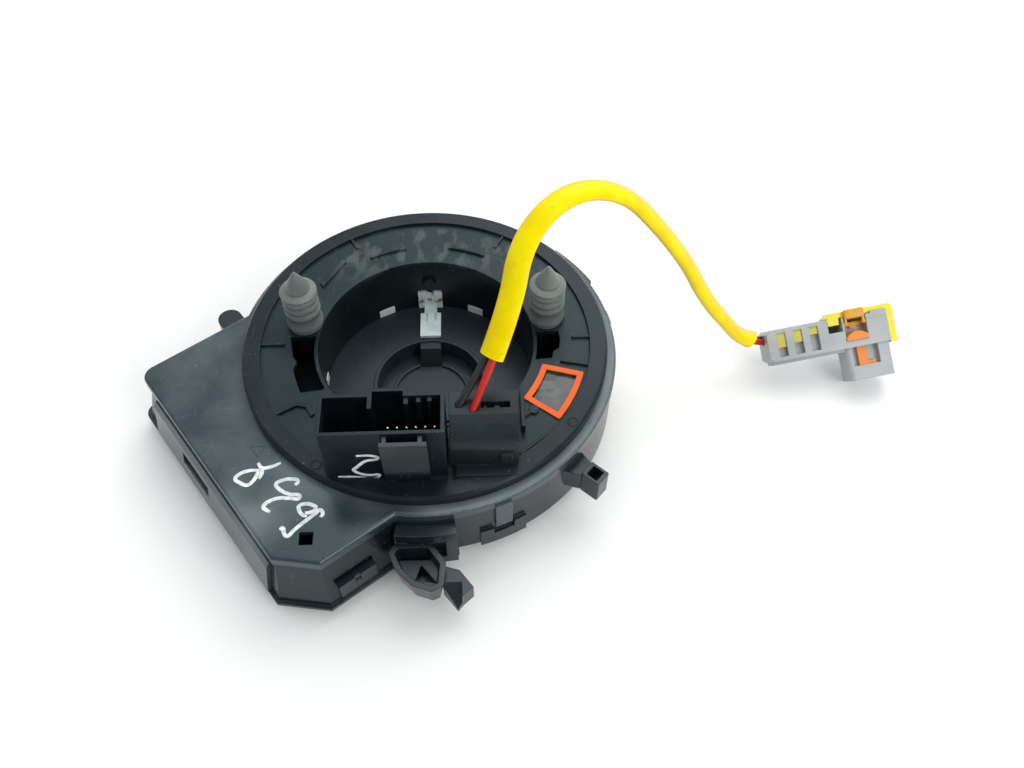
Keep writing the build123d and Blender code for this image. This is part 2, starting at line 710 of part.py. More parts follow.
def tab_block(azimuth, width, grow):
    low = hub_top()
    x_span = (BORE_R - 0.2, BORE_R + BORE_WALL + 0.6 * (grow == 0))
    tab = block(x_span, (-width / 2 - grow, width / 2 + grow), (low, TAB_TOP + grow))
    return Rot(0, 0, azimuth) * tab


def magnet_gear(teeth, side):
    azimuth = BOX_AZ + side * PINION_SPREAD
    x, y = polar(MODULE * (RING_TEETH + teeth) / 2, azimuth)
    phase = (RING_TEETH * azimuth + teeth * (azimuth + 180) - 180) / teeth
    gear = Pos(0, 0, GEAR_LOW) * extrude(gear_outline(teeth, phase), GEAR_T, dir=(0, 0, 1))
    top = GEAR_LOW + GEAR_T
    gear -= cylinder(MAGNET_R, top - MAGNET_T, top + 1)
    gear -= cylinder(POST_R + SPINDLE_FIT, GEAR_LOW - 1, top - MAGNET_T - 0.4)
    return Pos(x, y, 0) * gear


def magnet(teeth, side):
    centre = polar(MODULE * (RING_TEETH + teeth) / 2, BOX_AZ + side * PINION_SPREAD)
    top = GEAR_LOW + GEAR_T
    return cylinder(MAGNET_R, top - MAGNET_T, top, centre)


def drive_dog():
    """White dog that stands in the bore wall, with its greased foot on the hub's flange."""
    wall_y = BORE_R + BORE_WALL
    upright = block((-DOG_X, DOG_X), (BORE_R - DOG_T + 0.6, wall_y - 0.4), (hub_top(), DOG_TOP))
    notch = Pos(0, BORE_R, DOG_TOP) * Rot(90, 0, 0) * Cylinder(DOG_NOTCH_R, 6)
    foot_pad = block((-DOG_FOOT_X, DOG_FOOT_X), DOG_FOOT_Y, (hub_top(), hub_top() + DOG_FOOT_T))
    slit_y = (DOG_FOOT_Y[1] - 3.2, DOG_FOOT_Y[1] - 0.01)
    for x in (-1.3, 1.3):
        foot_pad -= block((x - 0.4, x + 0.4), (slit_y[0], slit_y[1] + 1), (hub_top() + 0.3, hub_top() + 2))
    neck = block((-1.9, 1.9), (DOG_FOOT_Y[1], BORE_R), (hub_top(), hub_top() + DOG_FOOT_T))
    return upright - notch + foot_pad + neck


def dog_recess():
    wall_y = BORE_R + BORE_WALL
    return block((-DOG_X - 0.01, DOG_X + 0.01), (BORE_R - 2, wall_y - 0.4), (0, DOG_TOP + 0.9))


# ---- rotor ----
def hub_low():
    return FLOOR_T + RUNNING_GAP


def hub_top():
    return hub_low() + HUB_FLANGE_T


def pin_pockets():
    """Two deep pockets below the drive pins, parted from the bore by a thin wall."""
    low = DRUM_LOW + HUB_WEB_T
    pockets = prism(LEFT_POCKET, low, RIM_TOP) + prism(RIGHT_POCKET, low, RIM_TOP)
    return pockets - cylinder(BORE_R + POCKET_WALL, low, RIM_TOP)


def header_shell():
    """Open rectangular header with a stepped back wall, ribs and a fin."""
    x0, x1 = HEADER_X
    y0, y1 = HEADER_Y
    wall = HEADER_WALL
    body = block(HEADER_X, HEADER_Y, (DISC_TOP, HEADER_TOP))
    step_x = (HEADER_STEP_X[0] - wall, HEADER_STEP_X[1] + wall)
    step = block(step_x, (y1 - wall, y1 + HEADER_STEP), (DISC_TOP, HEADER_TOP))
    floor_top = DISC_TOP + HEADER_FLOOR_T
    hollow = block((x0 + wall, x1 - wall), (y0 + wall, y1 - wall), (floor_top, HEADER_TOP + CUT))
    hollow += block(HEADER_STEP_X, (y1 - 2 * wall, y1 + HEADER_STEP - wall), (floor_top, HEADER_TOP + CUT))
    shell = body + step - hollow
    corner = shell.edges().filter_by(Axis.Z).sort_by_distance((x0, y0, HEADER_TOP))[0]
    shell = fillet(corner, HEADER_CORNER_R)
    back = y1 - wall / 2
    shell += block(HEADER_FIN_X, (y1 - HEADER_FIN_REACH, back), (floor_top, HEADER_TOP))
    for x, depth in HEADER_RIBS:
        across = (x - HEADER_RIB_W / 2, x + HEADER_RIB_W / 2)
        shell += block(across, (back - depth, back), (floor_top, HEADER_TOP - HEADER_RIB_DROP))
    return shell + header_latch()


def header_latch():
    """Sloping tongue in front of the header, tied to its wall by two struts."""
    wall_y = HEADER_Y[0]
    tip_y = wall_y - LATCH_OUT
    top = HEADER_TOP - LATCH_DROP
    side = Polygon(
        (wall_y, DISC_TOP),
        (wall_y - LATCH_T, DISC_TOP),
        (tip_y, top),
        (tip_y + LATCH_T, top),
        (wall_y, DISC_TOP + LATCH_ROOT_H),
        align=None,
    )
    tongue = Pos(LATCH_X[0], 0, 0) * extrude(Plane.YZ * side, LATCH_X[1] - LATCH_X[0], dir=(1, 0, 0))
    for x in LATCH_STRUT_X:
        across = (x - LATCH_STRUT_W / 2, x + LATCH_STRUT_W / 2)
        tongue += block(across, (tip_y + LATCH_T / 2, wall_y + HEADER_WALL / 2), (top - LATCH_STRUT_H, top))
    return tongue


def floor_ridges():
    """Ridges and a low fence moulded on the rotor's floor."""
    low = DISC_TOP
    high = DISC_TOP + RIDGE_H
    half = RIDGE_W / 2
    marks = block(FENCE_X, FENCE_Y, (low, low + FENCE_H))
    for azimuth, start in RIDGES:
        marks += Rot(0, 0, azimuth) * block((start, RIM_IN_R + half), (-half, half), (low, high))
    for azimuth, span in ((109, 9), (71, 9)):
        marks += sector(DRUM_R - 4, DRUM_R - 4 - RIDGE_W, low, high, azimuth - span, azimuth + span)
    for outline in (LEFT_RIDGE, REAR_RIDGE, RIGHT_RIDGE, STUD_RIDGE):
        marks += prism(outline, low, high)
    return marks + cylinder(STUD_R, low, high, STUD_AT)


def rotor_disc():
    low = COVER_TOP + RUNNING_GAP
    section = [
        (BORE_R, hub_top()), (BORE_R + BORE_WALL, hub_top()), (BORE_R + BORE_WALL, DRUM_LOW),
        (DRUM_R, DRUM_LOW), (DRUM_R, low), (COVER_HOLE_R - RUNNING_GAP - SKIRT_T, low),
        (COVER_HOLE_R - RUNNING_GAP - SKIRT_T, SKIRT_LOW), (COVER_HOLE_R - RUNNING_GAP, SKIRT_LOW),
        (COVER_HOLE_R - RUNNING_GAP, low), (ROTOR_R, low), (ROTOR_R, RIM_TOP - RIM_ROUND),
        (ROTOR_R - RIM_ROUND, RIM_TOP), (RIM_IN_R, RIM_TOP), (RIM_IN_R, DISC_TOP), (BORE_R, DISC_TOP),
    ]
    disc = turned(section)
    cellar = tube(DRUM_R - DRUM_WALL, BORE_R + BORE_WALL, DRUM_LOW + HUB_WEB_T, low)
    disc -= cellar
    disc -= pin_pockets()
    for x in (-PIN_X, PIN_X):
        disc += cylinder(PIN_R - 0.5, DRUM_LOW + 0.2, DISC_TOP, (x, PIN_Y)) & tube(DRUM_R - 0.2, BORE_R + 0.5, 0, DISC_TOP)
    frame_low = DISC_TOP - LENS_DROP - LENS_T
    disc -= Pos(0, 0, low - 1) * extrude(window_plan(-FRAME_W), RIM_TOP)
    disc -= Pos(0, 0, frame_low) * extrude(window_plan(-FRAME_W + 0.6), RIM_TOP)
    for azimuth, width in zip(TAB_AZ, TAB_W):
        disc -= tab_block(azimuth, width, 0.01)
    disc -= dog_recess()
    disc += Pos(0, BORE_R, BORE_BOSS_Z) * Rot(90, 0, 0) * Cylinder(BORE_BOSS_R, 2 * BORE_BOSS_OUT)
    disc += header_shell()
    disc += floor_ridges() - Pos(0, 0, DISC_TOP - 1) * extrude(window_plan(0.05), 9)
    return disc


def window_plan(grow):
    """The window on the rotor's floor: a four-sided sector, wider than its frame by grow."""
    r0, r1 = FRAME_R
    a0, a1 = FRAME_AZ
    edges = [
        CenterArc((0, 0), r1, a0, a1 - a0), Line(polar(r1, a1), polar(r0, a1)),
        CenterArc((0, 0), r0, a0, a1 - a0), Line(polar(r0, a0), polar(r1, a0)),
    ]
    bow = make_face(Wire(edges))
    bow = fillet(bow.vertices(), FRAME_ROUND)
    if grow == 0:
        return bow
    return offset(bow, grow)


def window_frame():
    rim = window_plan(0) - window_plan(-FRAME_W)
    return Pos(0, 0, DISC_TOP) * extrude(rim, FRAME_H)


def window_lens():
    plate = window_plan(-FRAME_W + 0.6)
    low = DISC_TOP - LENS_DROP - LENS_T
    lens = Pos(0, 0, low) * extrude(plate, LENS_T)
    return lens


def header_pins():
    y = HEADER_Y[0] + TERMINAL_IN
    low = DISC_TOP + HEADER_FLOOR_T
    pins = []
    for i in range(TERMINAL_COUNT):
        x = TERMINAL_FIRST_X + i * TERMINAL_PITCH
        half = TERMINAL_SIDE / 2
        pin = block((x - half, x + half), (y - half, y + half), (low, low + TERMINAL_H))
        pin = chamfer(pin.edges().group_by(Axis.Z)[-1], TERMINAL_POINT)
        pins.append(pin.solid())
    return Compound(children=pins)


def wire_block():
    """Rear half of the block that the squib wires leave from."""
    x0, x1 = BLOCK_X
    side = Polygon(
        (BLOCK_BACK_Y, DISC_TOP),
        (BLOCK_BACK_Y, BLOCK_TOP),
        (BLOCK_EDGE_Y, BLOCK_TOP),
        (BLOCK_SPLIT_Y, BLOCK_TOP - BLOCK_LIP),
        (BLOCK_SPLIT_Y, DISC_TOP),
        align=None,
    )
    body = Pos(x0, 0, 0) * extrude(Plane.YZ * side, x1 - x0, dir=(1, 0, 0))
    body -= block(BLOCK_SLOT_X, BLOCK_SLOT_Y, (BLOCK_TOP - BLOCK_SLOT_DEPTH, BLOCK_TOP + CUT))
    for name in WIRE_EXITS:
        body -= wire_seat(name, 0)
    foot_pad = block((x0 + 1.5, x1 + 0.6), (BLOCK_BACK_Y, BLOCK_BACK_Y + 2.2), (DISC_TOP, DISC_TOP + BLOCK_FOOT_T))
    return body + foot_pad


def wire_cap():
    """Front cover of the wire block, with a rounded shoulder, a catch and a foot."""
    x0, x1 = BLOCK_X
    top = BLOCK_TOP - BLOCK_LIP
    back = (BLOCK_SPLIT_Y, top)
    middle, end = [(BLOCK_SPLIT_Y - out, top - drop) for out, drop in CAP_SHOULDER]
    front = end[0]
    corners = Polyline(end, (front, DISC_TOP), (BLOCK_SPLIT_Y, DISC_TOP), back)
    side = make_face(Wire([ThreePointArc(back, middle, end), *corners.edges()]))
    cap = Pos(x0, 0, 0) * extrude(Plane.YZ * side, x1 - x0, dir=(1, 0, 0))
    cap += block((x0 + BLOCK_FOOT_T, x1), (BLOCK_FOOT_Y, front), (DISC_TOP, DISC_TOP + BLOCK_FOOT_T))
    catch_x = (x1 - 1.5 * CAP_LATCH_W, x1 - CAP_LATCH_W / 2)
    low, high = [DISC_TOP + z for z in CAP_LATCH_Z]
    catch = block(catch_x, (front - CAP_LATCH_OUT, front), (low, high))
    inset = CAP_LATCH_OUT
    catch -= block((catch_x[0] + inset, catch_x[1] - inset), (front - CUT, front - inset / 2), (low + inset, high - inset))
    return cap + catch - tube(ROTOR_R + CUT, RIM_IN_R, DISC_TOP - CUT, RIM_TOP)


def hub_ring():
    """Keyed ring under the bore: flange, sleeve through the housing, snap lip and key."""
    lip_top = -RUNNING_GAP
    lip_r = HUB_BORE_R + HUB_LIP[0]
    high = hub_top() + HUB_LIP[1]
    section = [
        (HUB_BORE_R, high), (lip_r, high), (lip_r, hub_top()),
        (BORE_R + BORE_WALL, hub_top()), (BORE_R + BORE_WALL, hub_low()),
        (HUB_SLEEVE_R, hub_low()), (HUB_SLEEVE_R, lip_top), (HUB_SLEEVE_R + SNAP_LIP_W, lip_top),
        (HUB_SLEEVE_R + SNAP_LIP_W - 0.8, lip_top - SNAP_LIP_T), (HUB_SLEEVE_R, lip_top - SNAP_LIP_T),
        (HUB_SLEEVE_R, HUB_LOW), (HUB_BORE_R, HUB_LOW),
    ]
    ring = turned(section)
    back = HUB_BORE_R + 0.5
    inner = HUB_BORE_R - KEY_REACH
    plug_top = HUB_LOW + PLUG_T
    profile = [(back, hub_top()), (inner, hub_top()), (inner - KEY_SLOPE, plug_top), (back, plug_top)]
    key = Pos(-KEY_W / 2, 0, 0) * extrude(Plane.YZ * Polygon(*profile, align=None), KEY_W, dir=(1, 0, 0))
    return ring + key


def transit_plug():
    """Thin black disc that closes the hub's bore, dished below and ridged above."""
    top = HUB_LOW + PLUG_T
    plug = cylinder(HUB_BORE_R, HUB_LOW, top)
    dish = cylinder(HUB_BORE_R - PLUG_DISH_IN, HUB_LOW - CUT, HUB_LOW + PLUG_DISH)
    inner, outer, height = PLUG_RIDGE
    key_half = KEY_W / 2 + RUNNING_GAP
    gap = block((-key_half, key_half), (0, HUB_BORE_R), (top, top + height + CUT))
    return plug - dish + (tube(outer, inner, top, top + height) - gap)


def drive_pin(x):
    """Barbed plastic pin: plain skirt, three round barbs, a shoulder and a blunt cone."""
    z = DISC_TOP
    profile = [(0, z), (PIN_R, z), (PIN_R, z + PIN_SKIRT_H - 0.5), (PIN_R - PIN_GROOVE, z + PIN_SKIRT_H)]
    z += PIN_SKIRT_H
    for i in range(PIN_RIB_COUNT):
        for share, depth in PIN_RIB:
            profile.append((PIN_R - depth * PIN_GROOVE, z + share * PIN_RIB_H))
        z += PIN_RIB_H
    for share, depth in PIN_SHOULDER:
        profile.append((PIN_R - depth * PIN_GROOVE, z + share * PIN_SHOULDER_H))
    z += PIN_SHOULDER_H
    top = DISC_TOP + PIN_HEIGHT
    rise = top - z
    for share, radius in PIN_CONE:
        profile.append((radius * PIN_CONE_R, z + share * rise))
    profile.append((0, top))
    return turned(profile, (x, PIN_Y))


# ---- flat cable ----
def ribbon_cable():
    """Flat cable wound loose between drum and housing, as one spiral of half turns."""
    shift = RIBBON_PITCH / 4
    inner = []
    outer = []
    for i in range(2 * RIBBON_TURNS):
        side = -shift if i % 2 == 0 else shift
        radius = RIBBON_IN_R + shift + i * RIBBON_PITCH / 2
        start = 180 * (i % 2)
        inner.append(CenterArc((side, 0), radius, start, 180))
        outer.append(CenterArc((side, 0), radius + RIBBON_T, start, 180))
    ends = [Line(inner[0] @ 0, outer[0] @ 0), Line(inner[-1] @ 1, outer[-1] @ 1)]
    plan = make_face(Wire(inner + outer + ends))
    low = TRAY_LOW + TRAY_T + RIBBON_PLAY
    return Pos(0, 0, low) * extrude(plan, SHELL_TOP - RIBBON_PLAY - low, dir=(0, 0, 1))


# ---- squib lead ----
def route_wire(vectors):
    """Straight runs joined by the largest tangent arcs that the runs allow."""
    radii = []
    for a, b, c in zip(vectors, vectors[1:], vectors[2:]):
        turn = radians((b - a).get_angle(c - b))
        radii.append(0.45 * min((b - a).length, (c - b).length) / tan(turn / 2))
    return FilletPolyline(*vectors, radius=radii), radii


def sweep_round(path, outer, inner=0):
    section = Circle(outer)
    if inner:
        section -= Circle(inner)
    plane = Plane(origin=path @ 0, z_dir=path % 0)
    return sweep(plane * section, path=path)


def sleeve_normal():
    first, middle, last = (Vector(*LEAD_ROUTE[i]) for i in (0, len(LEAD_ROUTE) // 2, -1))
    return (last - first).cross(middle - first).normalized()


def plug_plane():
    return Plane(origin=PLUG_AT, x_dir=PLUG_X, z_dir=PLUG_FACE)


def sleeve_points():
    """The lead's route, cut back at the plug so that the wires show."""
    points = [Vector(*p) for p in LEAD_ROUTE]
    back = (points[-2] - points[-1]).normalized()
    return points[:-1] + [points[-1] + back * SLEEVE_BARE]


def wire_points(name):
    """A wire's route: its seat in the block, the sleeve's line set to one side, its seat in the plug."""
    side = sleeve_normal() * (WIRE_OFFSET * SLEEVE_SIDE[name])
    shared = [Vector(*p) + side for p in LEAD_ROUTE]
    exit_point = Vector(*WIRE_EXITS[name])
    start = exit_point - (shared[0] - exit_point).normalized() * WIRE_SEAT
    plane = plug_plane()
    ahead = (shared[-1] - shared[-2]).normalized()
    inward = (ahead * (1 - WIRE_BEND) + plane.x_dir * WIRE_BEND).normalized()
    depth = WIRE_SEAT - plane.to_local_coords(shared[-1]).X
    end = shared[-1] + inward * (depth / inward.dot(plane.x_dir))
    return [start] + shared + [end]


def wire_seat(name, end):
    """The round hole that a wire's end sits in, at the block (0) or the plug (-1)."""
    points = wire_points(name)
    if end == 0:
        tip, toward = points[0], points[1]
    else:
        tip, toward = points[-1], points[-2]
    plane = Plane(origin=tip, z_dir=(toward - tip).normalized())
    return plane * Pos(0, 0, WIRE_SEAT * 2) * Cylinder(WIRE_R + WIRE_PLAY / 2, WIRE_SEAT * 4)


# ---- squib plug ----
def plug_body():
    half = PLUG_H / 2
    body = block((0, PLUG_LEN), (-half, half), (-PLUG_THICK, 0))
    body = chamfer(body.edges().filter_by(Axis.Z).filter_by_position(Axis.X, -0.1, 0.1), 1.0)
    body += block((1.0, NOSE_X[0]), (-half - 0.9, -half), (-PLUG_THICK + 1.5, -1.6))
    body -= block((NOSE_X[0] + 7.6, PLUG_LEN - 3.0), (half - 1.0, half + 1), (-PLUG_THICK - 1, 1))
    nose_z = (-PLUG_THICK + (PLUG_THICK - NOSE_THICK) / 2, -(PLUG_THICK - NOSE_THICK) / 2)
    nose = block(NOSE_X, (-half - NOSE_LEN, -half), nose_z)
    nose = fillet(nose.edges().filter_by(Axis.Y), 1.4)
    body += nose
    for x in PLUG_SLOT_X:
        body -= block((x, x + PLUG_SLOT_W), (-PLUG_SLOT_H / 2, PLUG_SLOT_H / 2), (-PLUG_SLOT_DEPTH, 1))
    body -= block(RECESS_X, (RECESS_LOW, half + 1), (-RECESS_DEPTH, 1))
    window_low = -half - NOSE_WINDOW_H
    body -= block(NOSE_WINDOW_X, (window_low, -half + 0.01), (nose_z[1] - 1.8, 1))
    notch = block((CPA_X[0] - 0.4, CPA_X[0] + CPA_HOOK_W + 0.4), (CPA_HOOK_LOW - CPA_LIFT - 0.3, half + 1), (-CPA_THICK - 1.8, 1))
    body -= notch
    for x in (sum(NOSE_X) / 2 - CONTACT_PITCH / 2, sum(NOSE_X) / 2 + CONTACT_PITCH / 2):
        hole = Cylinder(CONTACT_R, CONTACT_DEPTH * 2)
        body -= Pos(x, -half - NOSE_LEN, -PLUG_THICK / 2) * Rot(90, 0, 0) * hole
    top_cut = block((CPA_X[0] - 0.4, PLUG_LEN + 1), (half - CPA_LIFT, half + 1), (-CPA_THICK - 1.8, 1))
    body -= top_cut
    body = plug_plane().location * body
    for name in WIRE_EXITS:
        body -= wire_seat(name, -1)
    return body


def plug_insert():
    """Yellow secondary lock seen in the upper part of the body's three slots."""
    top = PLUG_SLOT_H / 2
    pieces = []
    for x, height in zip(PLUG_SLOT_X, INSERT_H):
        pieces.append(block((x, x + PLUG_SLOT_W), (top - height, top), (-PLUG_SLOT_DEPTH, -0.4)).solid())
    return plug_plane().location * Compound(children=pieces)


def plug_button():
    """Orange button with a flat foot and an arched top, in the body's recess."""
    x0, x1 = RECESS_X
    low = RECESS_LOW
    high = low + BUTTON_H
    arch = ThreePointArc((x0, low + 0.9), ((x0 + x1) / 2, high), (x1, low + 0.9))
    edges = [arch, Line((x1, low + 0.9), (x1, low)), Line((x1, low), (x0, low)), Line((x0, low), (x0, low + 0.9))]
    face = make_face(Wire(edges))
    button = Pos(0, 0, -RECESS_DEPTH) * extrude(face, RECESS_DEPTH + 0.5, dir=(0, 0, 1))
    return plug_plane().location * button


def plug_stem():
    """Orange L-shaped stem of the shorting bar's release, behind the nose window."""
    half = PLUG_H / 2
    back = -(PLUG_THICK - NOSE_THICK) / 2 - 1.8
    low = -half - NOSE_WINDOW_H
    stem = block(STEM_X, (low, -half), (back, back + STEM_T))
    stem += block((STEM_X[0], STEM_X[1] + 2.4), (low, low + 1.0), (back, back + STEM_T))
    return plug_plane().location * stem


def plug_clip():
    """Amber clip across the top of the recess, with a tab in front of the lock's bar."""
    x0, x1 = RECESS_X
    top = PLUG_H / 2 - CPA_LIFT
    bridge = block((x0, x1), (top - CLIP_T, top), (-RECESS_DEPTH, 0))
    tab = block((x0 + CLIP_FRONT_T, x1 - CLIP_FRONT_T), (top, PLUG_H / 2 + CLIP_RISE), (-CLIP_FRONT_T, 0))
    corners = tab.edges().filter_by(Axis.Z).group_by(Axis.Y)[-1]
    return plug_plane().location * (bridge + fillet(corners, CPA_CORNER))


def plug_lock():
    """Yellow lock: a bar over the body, a hook in its notch and a leg past its end."""
    half = PLUG_H / 2
    x0, x1 = CPA_X
    low = half + CPA_SEAT
    z_span = (-CPA_THICK - 1.5, -CLIP_FRONT_T - RUNNING_GAP)
    bar = block((x0, x1), (low, low + CPA_T), z_span)
    hook = block((x0, x0 + CPA_HOOK_W), (CPA_HOOK_LOW, low), z_span)
    leg = block((x1 - CPA_LEG_W, x1), (CPA_LEG_LOW, low), z_span)
    slot = block((x1 - CPA_LEG_W - 1, x1 + 1), (CPA_LEG_LOW + 1.6, low - 2.0), (z_span[0] + 1.6, z_span[1] - 1.6))
    lock = bar + hook + leg
    upright = lock.edges().filter_by(Axis.Z)
    corner = upright.group_by(Axis.X)[-1].group_by(Axis.Y)[-1]
    lock = fillet(corner, CPA_CORNER)
    shoulder = lock.edges().filter_by(Axis.Z).group_by(Axis.X)[0].group_by(Axis.Y)[-1]
    lock = chamfer(shoulder, CPA_CORNER) - slot
    return plug_plane().location * lock


os.makedirs("parts", exist_ok=True)

write("base_shell", base_shell())
write("top_cover", top_cover())
write("side_panel", side_panel())
write("ribbon_guide", ribbon_guide())
write("sensor_board", sensor_board())
write("sensor_chips", sensor_chips())
write("column_pins", column_pin_shafts(0))
write("rotor_disc", rotor_disc())
write("hub_ring", hub_ring())
write("transit_plug", transit_plug())
write("drive_pin_left", drive_pin(-PIN_X))
write("drive_pin_right", drive_pin(PIN_X))
write("header_pins", header_pins())
write("wire_block", wire_block())
write("wire_cap", wire_cap())
write("window_frame", window_frame())
write("window_lens", window_lens())
write("sensor_gear", sensor_gear())
write("drive_dog", drive_dog())
for letter, teeth, side in zip("ab", PINION_TEETH, (-1, 1)):
    write(f"magnet_gear_{letter}", magnet_gear(teeth, side))
    write(f"magnet_{letter}", magnet(teeth, side))
write("ribbon_cable", ribbon_cable())
write("plug_body", plug_body())
write("plug_insert", plug_insert())
write("plug_button", plug_button())
write("plug_stem", plug_stem())
write("plug_clip", plug_clip())
write("plug_lock", plug_lock())

sleeve_path, sleeve_radii = route_wire(sleeve_points())
write("lead_sleeve", sweep_round(sleeve_path, SLEEVE_R, SLEEVE_R - SLEEVE_WALL))
print("lead_sleeve length", round(sleeve_path.length, 1), "arc radii", [round(r, 1) for r in sleeve_radii])
for wire_name in WIRE_EXITS:
    wire_path, wire_radii = route_wire(wire_points(wire_name))
    write(wire_name, sweep_round(wire_path, WIRE_R))
    print(wire_name, "length", round(wire_path.length, 1), "arc radii", [round(r, 1) for r in wire_radii])
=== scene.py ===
import bpy
import math
from mathutils import Matrix, Vector


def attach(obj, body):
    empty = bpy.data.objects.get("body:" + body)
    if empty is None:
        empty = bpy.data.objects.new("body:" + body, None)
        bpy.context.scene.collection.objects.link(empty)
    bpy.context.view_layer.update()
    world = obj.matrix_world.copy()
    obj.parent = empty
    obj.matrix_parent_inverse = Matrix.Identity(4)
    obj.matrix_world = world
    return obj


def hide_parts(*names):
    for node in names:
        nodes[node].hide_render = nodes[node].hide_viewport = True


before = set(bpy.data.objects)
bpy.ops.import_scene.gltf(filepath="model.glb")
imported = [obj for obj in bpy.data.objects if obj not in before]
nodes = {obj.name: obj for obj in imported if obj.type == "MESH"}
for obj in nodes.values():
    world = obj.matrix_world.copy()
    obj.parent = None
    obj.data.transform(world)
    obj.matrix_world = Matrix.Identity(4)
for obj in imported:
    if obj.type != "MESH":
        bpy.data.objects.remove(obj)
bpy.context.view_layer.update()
scene = bpy.context.scene
MM = 0.001


# ---- Studio ----
# The part stands on its moulded feet on a white table, with the squib plug lying
# beside it. Soft daylight comes from above and behind, and the room is dim in front.
FEET_Z = -4.5 * MM
CAMERA_AT = (0.015003, -0.166385, 0.230461)
CAMERA_DOWN = math.radians(54.008)
CAMERA_YAW = math.radians(3.063)
CAMERA_ROLL = math.radians(0.882)
LENS = 33.886
TABLE_SIZE = 6.0
TABLE_COLOUR = (0.88, 0.89, 0.89)
TABLE_GLOW = 0.04
SKY_HIGH = (0.98, 1.0, 1.0)
SKY_LOW = (0.40, 0.42, 0.43)
SKY_TOWARDS = (0.08, 0.56, 0.82)
SKY_SPAN = (0.1, 0.85)
LAMP_TINT = (1.0, 0.99, 0.97)
DUST = (0.22, 0.23, 0.23)

forward = Vector((
    math.sin(CAMERA_YAW) * math.cos(CAMERA_DOWN),
    math.cos(CAMERA_YAW) * math.cos(CAMERA_DOWN),
    -math.sin(CAMERA_DOWN),
))
level = Vector((math.cos(CAMERA_YAW), -math.sin(CAMERA_YAW), 0))
rise = level.cross(forward)
across = math.cos(CAMERA_ROLL) * level + math.sin(CAMERA_ROLL) * rise
upward = math.cos(CAMERA_ROLL) * rise - math.sin(CAMERA_ROLL) * level
camera_data = bpy.data.cameras.new("camera")
camera_data.lens = LENS
camera_data.sensor_width = 36
camera_data.sensor_fit = "HORIZONTAL"
camera_data.clip_start = 0.005
camera = bpy.data.objects.new("camera", camera_data)
turn = Matrix((across, upward, -forward)).transposed().to_4x4()
camera.matrix_world = Matrix.Translation(CAMERA_AT) @ turn
scene.collection.objects.link(camera)
scene.camera = camera
scene.view_settings.view_transform = "Standard"


class Value:
    """An output of a node; arithmetic on it adds Math nodes."""

    def __init__(self, finish, socket):
        self.finish = finish
        self.socket = socket

    def maths(self, operation, first, second):
        return self.finish.node("ShaderNodeMath", {"operation": operation}, {0: first, 1: second})

    def __add__(self, other):
        return self.maths("ADD", self, other)

    def __radd__(self, other):
        return self.maths("ADD", other, self)

    def __sub__(self, other):
        return self.maths("SUBTRACT", self, other)

    def __rsub__(self, other):
        return self.maths("SUBTRACT", other, self)

    def __mul__(self, other):
        return self.maths("MULTIPLY", self, other)

    def __rmul__(self, other):
        return self.maths("MULTIPLY", other, self)


class Finish:
    """A node tree, built node by node; for a material, round one Principled shader."""

    def __init__(self, name, tree=None, **fixed):
        if tree is None:
            self.material = bpy.data.materials.new(name)
            self.material.use_nodes = True
            tree = self.material.node_tree
        self.tree = tree
        self.shader = tree.nodes.get("Principled BSDF")
        for key, value in fixed.items():
            self.feed(self.shader.inputs[key.replace("_", " ")], value)

    def feed(self, socket, value):
        if isinstance(value, Value):
            self.tree.links.new(value.socket, socket)
        elif isinstance(value, tuple) and len(socket.default_value) == 4:
            socket.default_value = (*value, 1)
        else:
            socket.default_value = value

    def node(self, kind, settings, sockets, output=0):
        made = self.tree.nodes.new(kind)
        for name, value in settings.items():
            setattr(made, name, value)
        for name, value in sockets.items():
            self.feed(made.inputs[name], value)
        return Value(self, made.outputs[output])

    def place(self):
        return self.node("ShaderNodeTexCoord", {}, {}, "Object")

    def axes(self):
        """The object's X, Y and Z at the shaded point, in metres."""
        split = self.node("ShaderNodeSeparateXYZ", {}, {0: self.place()})
        return [Value(self, output) for output in split.socket.node.outputs]

    def noise(self, scale, detail=3.0, stretch=(1, 1, 1)):
        where = self.node("ShaderNodeMapping", {}, {"Vector": self.place(), "Scale": stretch})
        sockets = {"Vector": where, "Scale": scale, "Detail": detail}
        return self.node("ShaderNodeTexNoise", {}, sockets, "Fac")

    def between(self, value, low, high):
        sockets = {"Value": value, "From Min": low, "From Max": high, "To Min": 0.0, "To Max": 1.0}
        return self.node("ShaderNodeMapRange", {"clamp": True}, sockets, "Result")

    def mix(self, factor, first, second):
        return self.node("ShaderNodeMix", {"data_type": "RGBA"}, {0: factor, 6: first, 7: second}, 2)

    def paint(self, colour, roughness):
        self.feed(self.shader.inputs["Base Color"], colour)
        self.feed(self.shader.inputs["Roughness"], roughness)

    def relief(self, height, depth, edge=0.0):
        """Bump of the given depth in metres, over edges rounded to the radius edge."""
        sockets = {"Height": height, "Distance": depth, "Strength": 1.0}
        if edge:
            sockets["Normal"] = self.node("ShaderNodeBevel", {"samples": 6}, {"Radius": edge}, "Normal")
        self.feed(self.shader.inputs["Normal"], self.node("ShaderNodeBump", {}, sockets, "Normal"))

    def on(self, *names):
        for name in names:
            piece = nodes[name] if name in nodes else bpy.data.objects[name]
            if not piece.material_slots:
                piece.data.materials.append(self.material)
            for slot in piece.material_slots:
                slot.material = self.material


def moulded(name, dark, light, roughness, edge=0.0002, dust=0.2, **fixed):
    """Moulded plastic: clouded colour, fine dust, an uneven sheen and softened edges."""
    made = Finish(name, **fixed)
    cloud = made.between(made.noise(70.0, 4.0), 0.36, 0.66)
    speck = made.between(made.noise(1500.0, 2.0), 0.70, 0.76)
    made.paint(made.mix(speck * dust, made.mix(cloud, dark, light), DUST), cloud * 0.14 + roughness)
    made.relief(made.noise(700.0), 0.00001, edge)
    return made


